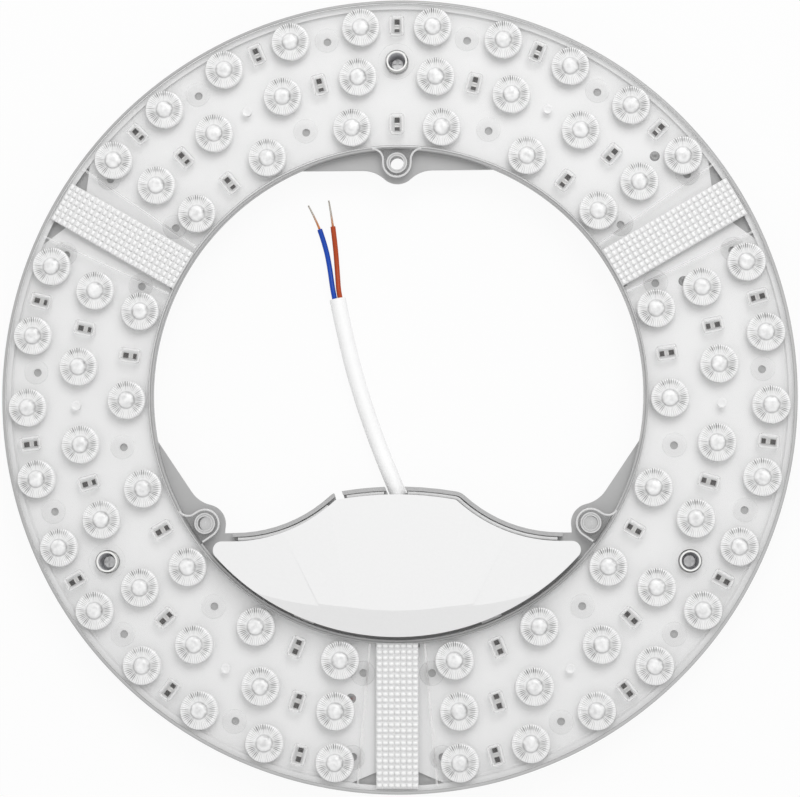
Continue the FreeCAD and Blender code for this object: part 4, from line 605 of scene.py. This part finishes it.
def plate_box(name, low, high, angle):
    """A block as thick as the plate, from low to high (outwards, sideways) in mm from an ear's middle."""
    deselect()
    bpy.ops.mesh.primitive_cube_add(size=1)
    block = bpy.context.object
    block.name = name
    block.dimensions = ((high[0] - low[0]) * MM, (high[1] - low[1]) * MM, (PLATE_TOP - PLATE_UNDER) * MM)
    block.location = (
        (EAR_CIRCLE + (low[0] + high[0]) / 2) * MM, (low[1] + high[1]) / 2 * MM, (PLATE_TOP + PLATE_UNDER) / 2 * MM
    )
    settle(block)
    block.rotation_euler.z = math.radians(angle)
    settle(block)
    return block


def beside_ear(out, aside, angle):
    """The point this far outwards and sideways from an ear's middle, in mm."""
    x, y = polar(EAR_CIRCLE + out, angle)
    return x - aside * math.sin(math.radians(angle)), y + aside * math.cos(math.radians(angle))


plate = lathe("cover_plate", ring_section, 288)
for angle in EARS:
    cap = disc("ear_cap", CAP_RADIUS, PLATE_UNDER, PLATE_TOP, polar(EAR_CIRCLE, angle))
    carve(cap, plate_box("neck", (0, -CAP_RADIUS), (EAR_INSET + 0.6, CAP_RADIUS), angle), "UNION")
    for side in FLARES[angle]:
        sides = sorted((side * (CAP_RADIUS - 0.5), side * (CAP_RADIUS + FLARE)))
        corner = plate_box("flare", (EAR_INSET - FLARE, sides[0]), (EAR_INSET + 0.6, sides[1]), angle)
        hollow = beside_ear(EAR_INSET - FLARE, side * (CAP_RADIUS + FLARE), angle)
        carve(corner, disc("hollow", FLARE, 5, 20, hollow))
        carve(cap, corner, "UNION")
    carve(plate, cap, "UNION")
for angle in BOARDS:
    carve(plate, disc("pad", 6.9, PLATE_UNDER + 0.5, PLATE_TOP + 0.3, polar(MAGNET_CIRCLE, angle)), "UNION")
for angle in EARS:
    carve(plate, disc("hole", 3.4, 5, 20, polar(EAR_CIRCLE, angle)))
for angle in BOARDS:
    carve(plate, disc("hole", 4.4, 5, 20, polar(MAGNET_CIRCLE, angle)))
# The ledge is opaque white under the clear rim: painted light that hides the dark gap and the shadow between board and
# rim.
ledge = lathe(
    "rim_ledge", [(146.7, 13.55), (148.7, 13.55), (148.7, 13.75), (146.7, 13.75), (146.7, 13.55)], 288
)
ledge.data.materials.append(clear_ledge_painted_light)
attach(ledge, "root")
plate.data.materials.clear()
for material in (clear, clear_edge, clear_rim, clear_lip, clear_ear):
    plate.data.materials.append(material)
# The sides, the outer band, the inner edge and the ear caps get grey finishes: painted shade of the clear plastic.
for face in plate.data.polygons:
    radius = math.hypot(face.center.x, face.center.y) / MM
    if radius < COVER_INNER - 0.1:
        face.material_index = 4
    elif abs(face.normal.z) < 0.85:
        face.material_index = 1
    elif radius < 94.3:
        face.material_index = 3
    elif radius > 148.6 and face.normal.z > 0:
        face.material_index = 1
    elif radius > 145.3 and face.normal.z > 0:
        angle = math.degrees(math.atan2(face.center.y, face.center.x))
        beside_seam = min(abs((angle - seam + 180) % 360 - 180) for seam in SEAMS)
        face.material_index = 2 if beside_seam > 6.5 or radius > 146.9 else 0
smooth(plate, 30)
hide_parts("lens_cover")
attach(plate, "root")
print("cover plate:", len(plate.data.polygons), "faces")

# %% [markdown]
# ## Lenses
#
# Each lens is a round button, 14.5 mm across, with a rounded shoulder, a shallow dish cut by 48 radial
# grooves, and a bright dome in its middle over the LED. The profile is turned with two steps a groove,
# then every second point of the dish is pushed down. The grooves are real, but the dark a rib shows where
# it bends the view sideways, past the white board, is painted shade: on the slope towards +Y and beside
# the dome, with a painted shadow along the foot towards -Y. How dark each point is goes into an
# attribute, which the lens's material reads.

# %% One lens, then 72

GROOVES = 48


def bump(value, middle, width):
    """A smooth hill from 0 to 1 round the middle; angles are in degrees."""
    return max(0.0, 1 - ((value - middle) / width) ** 2)


def turn_of(vertex):
    """Radius in mm, angle from -90 to 270 degrees and number of the point round the axis."""
    angle = math.degrees(math.atan2(vertex.co.y, vertex.co.x))
    angle += 360 if angle < -90 else 0
    return math.hypot(vertex.co.x, vertex.co.y) / MM, angle, round(angle / 360 * 2 * GROOVES)


def in_groove(vertex):
    """Every second point round the axis, in the dish."""
    radius, _, number = turn_of(vertex)
    return 3.3 < radius < 6.9 and number % 2 == 1


def lens_painted_shade(vertex):
    """How much painted shade a point of the lens gets."""
    radius, angle, number = turn_of(vertex)
    # Painted shadow along the lens's foot, strongest on the side towards -Y.
    if vertex.co.z < 0.8 * MM:
        return 0.32 * bump(angle, 262, 60) + 0.05
    # Painted shade on the ribs: most on the slope towards +Y and beside the dome to the right and lower left; foot is
    # painted shade where the dish meets the dome.
    far = bump(angle, 96, 42) * bump(radius, 6.2, 1.3)
    beside = 0.75 * bump(angle, -12, 52) * bump(radius, 4.5, 1.9) + 0.8 * bump(angle, 212, 44) * bump(radius, 4.6, 1.9)
    uneven = 0.85 + 0.2 * math.sin(2.3 * number) + 0.12 * math.sin(5.1 * number)
    foot = 0.3 * bump(radius, 3.1, 0.4)
    if number % 2:
        return uneven * (0.38 * bump(radius, 5.4, 2.6) + 0.85 * far + 0.85 * beside) + foot
    return 0.06 * (far + beside) + foot


def dome_painted_shade(vertex):
    """Painted shade at the foot, strongest to the right and the left, and a faint grey middle where the LED shows."""
    radius, angle, _ = turn_of(vertex)
    edge = 0.6 * bump(radius, 3.1, 0.9) * (0.3 + 0.7 * bump(angle, 20, 90) + 0.5 * bump(angle, 190, 50))
    return edge + 0.26 * bump(radius, 0.6, 2.2)


def mark(piece, shade):
    """Store how dark each point is."""
    values = [min(1.0, shade(vertex)) for vertex in piece.data.vertices]
    piece.data.attributes.new("shade", "FLOAT", "POINT").data.foreach_set("value", values)


lens_profile = [
    (7.25, -0.2), (7.2, 0.7), (7.0, 1.25), (6.65, 1.52), (6.2, 1.6), (5.6, 1.5), (4.9, 1.36), (4.2, 1.22), (3.6, 1.12),
    (3.1, 1.05), (2.9, 0.9), (2.9, -0.2), (7.25, -0.2),
]
lens = lathe("lens", lens_profile, 2 * GROOVES)
edit(lens)
pick(lens, "vertices", in_groove)
bpy.ops.transform.translate(value=(0, 0, -0.2 * MM))
bpy.ops.object.mode_set(mode="OBJECT")
mark(lens, lens_painted_shade)
lens.data.materials.append(clear_lens)
LENS_PLACES = [(x, y, z, 0) for x, y, z, _ in row_places("lens", PLATE_TOP)]
lenses = join("lenses", copy_to(lens, LENS_PLACES))
smooth(lenses, 40)

dome = lathe(
    "dome",
    [(0, 0.7), (3.05, 0.7), (3.0, 1.5), (2.75, 1.95), (2.4, 2.2), (1.9, 2.4), (1.3, 2.52), (0.6, 2.58), (0, 2.6)],
    24,
)
mark(dome, dome_painted_shade)
dome.data.materials.append(clear_dome)
domes = join("domes", copy_to(dome, LENS_PLACES))
smooth(domes, 60)
for piece in (lenses, domes):
    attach(piece, "root")
print("lenses:", len(lenses.data.polygons), "faces")

# %% [markdown]
# ## Resistors and their windows
#
# Between the lenses, the cover rises in small rounded windows over the chip resistors. A window is a
# cube brought to size, its upright edges bevelled wide and its top edge bevelled fine. Its sides are drawn
# whiter and less clear than its top, a painted highlight, and the clear top shows two black chips with
# tinned ends, soldered in line.

# %% Windows

deselect()
bpy.ops.mesh.primitive_cube_add(size=1)
window = bpy.context.object
window.dimensions = (8.1 * MM, 5.7 * MM, 1.2 * MM)
window.location.z = 0.2 * MM
settle(window)
edit(window)


def upright(edge):
    """The four edges that stand up."""
    ends = [window.data.vertices[i].co.z for i in edge.vertices]
    return abs(ends[0] - ends[1]) > 0.5 * MM


def at_top(edge):
    """The edges round the top."""
    return all(window.data.vertices[i].co.z > 0.7 * MM for i in edge.vertices)


pick(window, "edges", upright)
bpy.ops.mesh.bevel(offset=1.3 * MM, segments=4)
pick(window, "edges", at_top)
bpy.ops.mesh.bevel(offset=0.5 * MM, segments=3)
bpy.ops.object.mode_set(mode="OBJECT")
# The sides get the whiter, less clear finish and the top the plain one: painted highlight on the sides.
window.data.materials.append(clear_side)
window.data.materials.append(clear)
for face in window.data.polygons:
    face.material_index = 1 if abs(face.normal.z) > 0.98 else 0
windows = join("windows", copy_to(window, row_places("window", PLATE_TOP)))
smooth(windows, 40)
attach(windows, "root")

# %% Chip resistors

CHIP_HEIGHT, CHIP_PITCH = 0.55, 3.7


def chip_block(length, width, height, out, material):
    """One bevelled block of a chip, its middle this far out along X."""
    deselect()
    bpy.ops.mesh.primitive_cube_add(size=1)
    block = bpy.context.object
    block.dimensions = (length * MM, width * MM, height * MM)
    block.location = (out * MM, 0, height / 2 * MM)
    settle(block)
    modify(block, "BEVEL", width=0.06 * MM, segments=1)
    block.data.materials.append(material)
    return block


blocks = []
for side in (-1, 1):
    middle = side * CHIP_PITCH / 2
    blocks.append(chip_block(2.0, 1.85, CHIP_HEIGHT, middle, resistor_black))
    for end_side in (-1, 1):
        blocks.append(chip_block(0.6, 1.85, CHIP_HEIGHT - 0.03, middle + end_side * 1.3, tin))
chip_pair = join("chip_pair", blocks)
chips = join("chip_resistors", copy_to(chip_pair, row_places("window", BOARD_TOP)))
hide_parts("resistors_top", "resistors_left", "resistors_right")
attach(chips, "root")

# %% [markdown]
# ## Prism strips
#
# Over each seam between two boards, a strip of small prisms hides the gap. A prism is a four-sided cone
# with its tip cut off and a bead on top, drawn near-opaque white as a painted highlight, and two array
# modifiers lay it out in seven columns.
# The flanks look grey, because they show what lies beside them.

# %% Prisms

PITCH = 2.25
deselect()
bpy.ops.mesh.primitive_cone_add(
    vertices=4, radius1=PITCH / 2 * math.sqrt(2) * MM, radius2=0.6 * MM, depth=0.8 * MM, location=(0, 0, 0.4 * MM)
)
flank = bpy.context.object
flank.rotation_euler.z = math.radians(45)
settle(flank)
flank.data.materials.append(clear_flank)
deselect()
bpy.ops.mesh.primitive_uv_sphere_add(segments=10, ring_count=6, radius=0.8 * MM, location=(-0.1 * MM, 0.05 * MM, 0.7 * MM))
bead = bpy.context.object
bead.scale = (0.85, 1.35, 0.6)
settle(bead)
# The bead is near-opaque white: painted highlight.
bead.data.materials.append(clear_bead)
smooth(bead, 80)
prism = join("prism", [flank, bead])
prism.location = ((SKIRT_INSIDE + PITCH / 2) * MM, -3 * PITCH * MM, PLATE_TOP * MM)
settle(prism)
for count, step in ((24, (PITCH * MM, 0, 0)), (7, (0, PITCH * MM, 0))):
    modify(
        prism, "ARRAY", count=count, use_relative_offset=False, use_constant_offset=True, constant_offset_displace=step
    )
prisms = join("prisms", copy_to(prism, [(0, 0, 0, angle) for angle in SEAMS]))
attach(prisms, "root")

# %% [markdown]
# ## Beside the prisms
#
# On each side of a strip a thin rib of the moulding shows as a light line. It starts close to the strip
# at the inner edge and leads away from it. It is a flat block whose outer end is moved in edit mode.

# %% Guide ribs

RIB_START, RIB_END = 94.0, 146.6
RIB_NEAR, RIB_FAR, RIB_WIDTH, RIB_DEPTH = 10.3, 14.8, 0.8, 0.12


def at_outer_end(vertex):
    """The end of a rib near the cover's outer edge."""
    return vertex.co.x > (RIB_START + RIB_END) / 2 * MM


guides = []
for side in (-1, 1):
    deselect()
    bpy.ops.mesh.primitive_cube_add(size=1)
    guide = bpy.context.object
    guide.dimensions = ((RIB_END - RIB_START) * MM, RIB_WIDTH * MM, RIB_DEPTH * MM)
    guide.location = ((RIB_START + RIB_END) / 2 * MM, side * RIB_NEAR * MM, PLATE_TOP * MM)
    settle(guide)
    edit(guide)
    pick(guide, "vertices", at_outer_end)
    bpy.ops.transform.translate(value=(0, side * (RIB_FAR - RIB_NEAR) * MM, 0))
    bpy.ops.object.mode_set(mode="OBJECT")
    guide.data.materials.append(clear_guide)
    guides.append(guide)
guides = join("guide_ribs", copy_to(join("guides", guides), [(0, 0, 0, angle) for angle in SEAMS]))
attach(guides, "root")

# %% [markdown]
# ## Small forms of the cover
#
# The moulding has more that only shows close up: a thin round pad over each hole in the boards, with a
# faint grey ring at its edge as painted shade, a pin mark over each locating peg, and a raised lip round
# each ear and each staked boss, drawn white and half clear as a painted highlight.

# %% Pads, pins and lips

pad = lathe("vent_pad", [(0, -0.1), (4.7, -0.1), (4.7, 0), (4.62, 0.1), (4.3, 0.12), (4.22, 0.05), (0, 0.05)], 40)
# The pad's outer ring is grey: painted shade at its edge; the middle stays clear.
pad.data.materials.append(clear_pad)
pad.data.materials.append(clear)
for face in pad.data.polygons:
    face.material_index = 0 if math.hypot(face.center.x, face.center.y) > 4.4 * MM else 1
pads = join("vent_pads", copy_to(pad, [(*polar(r, board + turn), PLATE_TOP, 0) for board in BOARDS for r, turn in VENTS]))
pin = lathe("pin_mark", [(0, -0.1), (1.85, -0.1), (1.85, 0), (1.7, 0.18), (1.35, 0.2), (0.8, 0.06), (0.72, 0.03), (0, 0.03)], 32)
pin.data.materials.append(clear_form)
joint = lathe(
    "wire_joint", [(0, 12.2), (1.88, 12.2), (1.88, 12.5), (1.6, 12.68), (1.1, 12.72), (0.6, 12.55), (0, 12.45)], 24
)
# Grey ring and darker middle: painted shade, the middle as a painted hollow.
joint.data.materials.append(clear_pin)
joint.data.materials.append(pin_painted_shade)
for face in joint.data.polygons:
    face.material_index = 1 if math.hypot(face.center.x, face.center.y) < 0.7 * MM else 0
WIRE_HOLES = [(132.4, 42.6), (115.8, 261.3), (115.8, 21.3)]
joints = join("wire_joints", copy_to(joint, [(*polar(r, angle), 0, 0) for r, angle in WIRE_HOLES]))
smooth(joints, 60)
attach(joints, "root")
pin_places = [(*polar(PEG_CIRCLE, board + side * 28), PLATE_TOP, 0) for board in BOARDS for side in (-1, 1)]
pins = join("pin_marks", copy_to(pin, pin_places))


def ear_outline(angle):
    """Points along the edge of an ear's cap, a little inside it, from one flare to the other."""
    inset = 0.35
    points = []
    for side in (-1, 1):
        if side in FLARES[angle]:
            bend = [math.radians(a) for a in range(0, 91, 15)]
            reach = FLARE + inset
            part = [
                (EAR_INSET - FLARE + reach * math.cos(a), side * (CAP_RADIUS + FLARE - reach * math.sin(a))) for a in bend
            ]
        else:
            part = [(EAR_INSET - 0.6, side * (CAP_RADIUS - inset))]
        points.append(part)
    cap_bend = [math.radians(a) for a in range(-90, 91, 15)]
    cap = [(-(CAP_RADIUS - inset) * math.cos(a), (CAP_RADIUS - inset) * math.sin(a)) for a in cap_bend]
    return points[0] + cap + points[1][::-1]


lips = []
for angle in EARS:
    outline = ear_outline(angle)
    curve = bpy.data.curves.new("ear_lip", "CURVE")
    curve.dimensions = "3D"
    spline = curve.splines.new("POLY")
    spline.points.add(len(outline) - 1)
    for point, (out, aside) in zip(spline.points, outline):
        x, y = beside_ear(out, aside, angle)
        point.co = (x * MM, y * MM, (PLATE_TOP - 0.05) * MM, 1)
    curve.bevel_depth = 0.42 * MM
    curve.bevel_resolution = 3
    curve.use_fill_caps = True
    lip = bpy.data.objects.new("ear_lip", curve)
    bpy.context.collection.objects.link(lip)
    activate(lip)
    bpy.ops.object.convert(target="MESH")
    lips.append(bpy.context.object)
bezel = lathe("ear_bezel", [(3.35, 16.15), (3.5, 16.45), (3.8, 16.45), (3.95, 16.15), (3.35, 16.15)], 48)
inner = lathe("ear_bezel_inner", [(2.62, 16.15), (2.72, 16.32), (2.95, 16.32), (3.05, 16.15), (2.62, 16.15)], 48)
bezels = join("bezel", [bezel, inner])
bezels = copy_to(bezels, [(*polar(EAR_CIRCLE, angle), 0, 0) for angle in EARS])
ear_lips = join("ear_lips", lips + bezels)
# Lips and bezels are white and half clear: painted highlight along the caps' edges.
ear_lips.data.materials.clear()
ear_lips.data.materials.append(clear_glint)
smooth(ear_lips, 60)
for piece in (pads, pins, ear_lips):
    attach(piece, "root")

# %% [markdown]
# ## Magnet sleeves
#
# A white sleeve leads each magnet screw down through cover, board and tray. Its rim stands proud of the
# cover with both edges broken, and its bore is drawn grey, painted shade down to the screw head.

# %% Sleeves

sleeve = lathe(
    "sleeve",
    [
        (1.6, 5.0), (6.5, 5.0), (6.5, 9.95), (3.95, 9.95), (3.95, 16.1), (3.8, 16.28), (3.45, 16.28), (3.25, 16.05),
        (3.25, 7.0), (1.6, 7.0), (1.6, 5.0),
    ],
    64,
)
sleeve.data.materials.append(nylon)
# The bore faces get the grey bore finish: painted shade down the hole.
sleeve.data.materials.append(bore_painted_shade)
for face in sleeve.data.polygons:
    face.material_index = 1 if math.hypot(face.center.x, face.center.y) < 3.3 * MM else 0
sleeves = join("magnet_sleeves", copy_to(sleeve, [(*polar(MAGNET_CIRCLE, angle), 0, 0) for angle in BOARDS]))
smooth(sleeves, 40)
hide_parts("magnet_sleeve_top", "magnet_sleeve_left", "magnet_sleeve_right")
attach(sleeves, "root")

# %% [markdown]
# ## Rib along the band
#
# Between the band's upstand and the driver cover runs a low rib of the tray. It follows the crown and
# the two hollow shoulders of the band, and it stops beside the slot and beside the cord. It is drawn
# lighter than the tray, as painted light in the dark gap.

# %% Rib

BAND_CROWN, CROWN_RADIUS, SHOULDER_RADIUS = 35.1, 130.0, 53.0
SHOULDER_X, SHOULDER_Y = 60.75, 0.6
RIB_INSET, RIB_LEVEL, RIB_RADIUS = 2.25, 14.0, 0.72


def band_line(x, inset):
    """The band's edge at x, moved this far back under the cover: crown or shoulder, in mm."""
    crown_radius, shoulder_radius = CROWN_RADIUS - inset, SHOULDER_RADIUS + inset
    crown = -BAND_CROWN - CROWN_RADIUS + math.sqrt(crown_radius**2 - x**2)
    aside = min(abs(SHOULDER_X - abs(x)), shoulder_radius)
    shoulder = SHOULDER_Y - math.sqrt(shoulder_radius**2 - aside**2)
    return min(crown, shoulder) if abs(x) > 20 else crown


ribs = []
for low, high in ((-60, -26), (-19, -5), (4, 60)):
    curve = bpy.data.curves.new("band_rib", "CURVE")
    curve.dimensions = "3D"
    spline = curve.splines.new("POLY")
    count = high - low
    spline.points.add(count)
    for number, point in enumerate(spline.points):
        x = low + number
        point.co = (x * MM, band_line(x, RIB_INSET) * MM, RIB_LEVEL * MM, 1)
    curve.bevel_depth = RIB_RADIUS * MM
    curve.bevel_resolution = 3
    curve.use_fill_caps = True
    rib = bpy.data.objects.new("band_rib", curve)
    bpy.context.collection.objects.link(rib)
    activate(rib)
    bpy.ops.object.convert(target="MESH")
    ribs.append(bpy.context.object)
rib = join("band_rib", ribs)
rib.data.materials.clear()
# The rib's lighter grey is painted light in the gap.
rib.data.materials.append(rib_painted_light)
smooth(rib, 60)
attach(rib, "root")

# %% [markdown]
# ## Light and floor
#
# The photograph is a cut-out on white, lit softly from all sides, with a little more light from the
# top of the picture. A pale world gives the soft part and one large lamp the rest. The floor is white
# for the camera and keeps a faint shadow.

# %% Stage


def background_rays(owner):
    """1 for rays that show the background: from the camera, by a reflection or through a clear part."""
    ray = add(owner, "ShaderNodeLightPath")
    seen = ray.outputs["Is Camera Ray"]
    for name in ("Is Glossy Ray", "Is Transmission Ray"):
        seen = add(owner, "ShaderNodeMath", [(seen, 0), (ray.outputs[name], 1)], operation="MAXIMUM").outputs[0]
    return seen


world = bpy.data.worlds.new("studio")
bpy.context.scene.world = world
world.use_nodes = True
backdrop = world.node_tree.nodes["Background"]
backdrop.inputs["Color"].default_value = (1, 1, 1, 1)
strength = add(world, "ShaderNodeMapRange", [(background_rays(world), "Value")], To_Min=0.74, To_Max=1.0)
world.node_tree.links.new(strength.outputs[0], backdrop.inputs["Strength"])

lamp_data = bpy.data.lights.new("softbox", "AREA")
lamp_data.energy = 6.4
lamp_data.size = 0.8
lamp = bpy.data.objects.new("softbox", lamp_data)
lamp.location = (0.25, 0.75, 1.1)
lamp.rotation_euler = (Vector((0, 0, 0)) - lamp.location).to_track_quat("-Z", "Y").to_euler()
bpy.context.scene.collection.objects.link(lamp)

deselect()
bpy.ops.mesh.primitive_plane_add(size=6)
floor = bpy.context.object
floor.name = "floor"
floor.location.z = -0.02 * MM
settle(floor)
paper = new_material("white_paper")
glow = add(paper, "ShaderNodeEmission", Color=(1, 1, 1, 1), Strength=1.0)
matte = add(paper, "ShaderNodeBsdfDiffuse", Color=colour("#E6E6E6"))
share = add(paper, "ShaderNodeMath", [(background_rays(paper), 0)], operation="MULTIPLY")
share.inputs[1].default_value = 0.93
sheet = add(paper, "ShaderNodeMixShader", [(share.outputs[0], 0), (matte.outputs[0], 1), (glow.outputs[0], 2)])
end(paper, sheet.outputs[0])
floor.data.materials.append(paper)

scene = bpy.context.scene
scene.view_settings.view_transform = "Standard"

# %% [markdown]
# ## Finish
#
# Dressing a model must not change its size. At the end nothing is left selected.

# %% Finish

deselect()
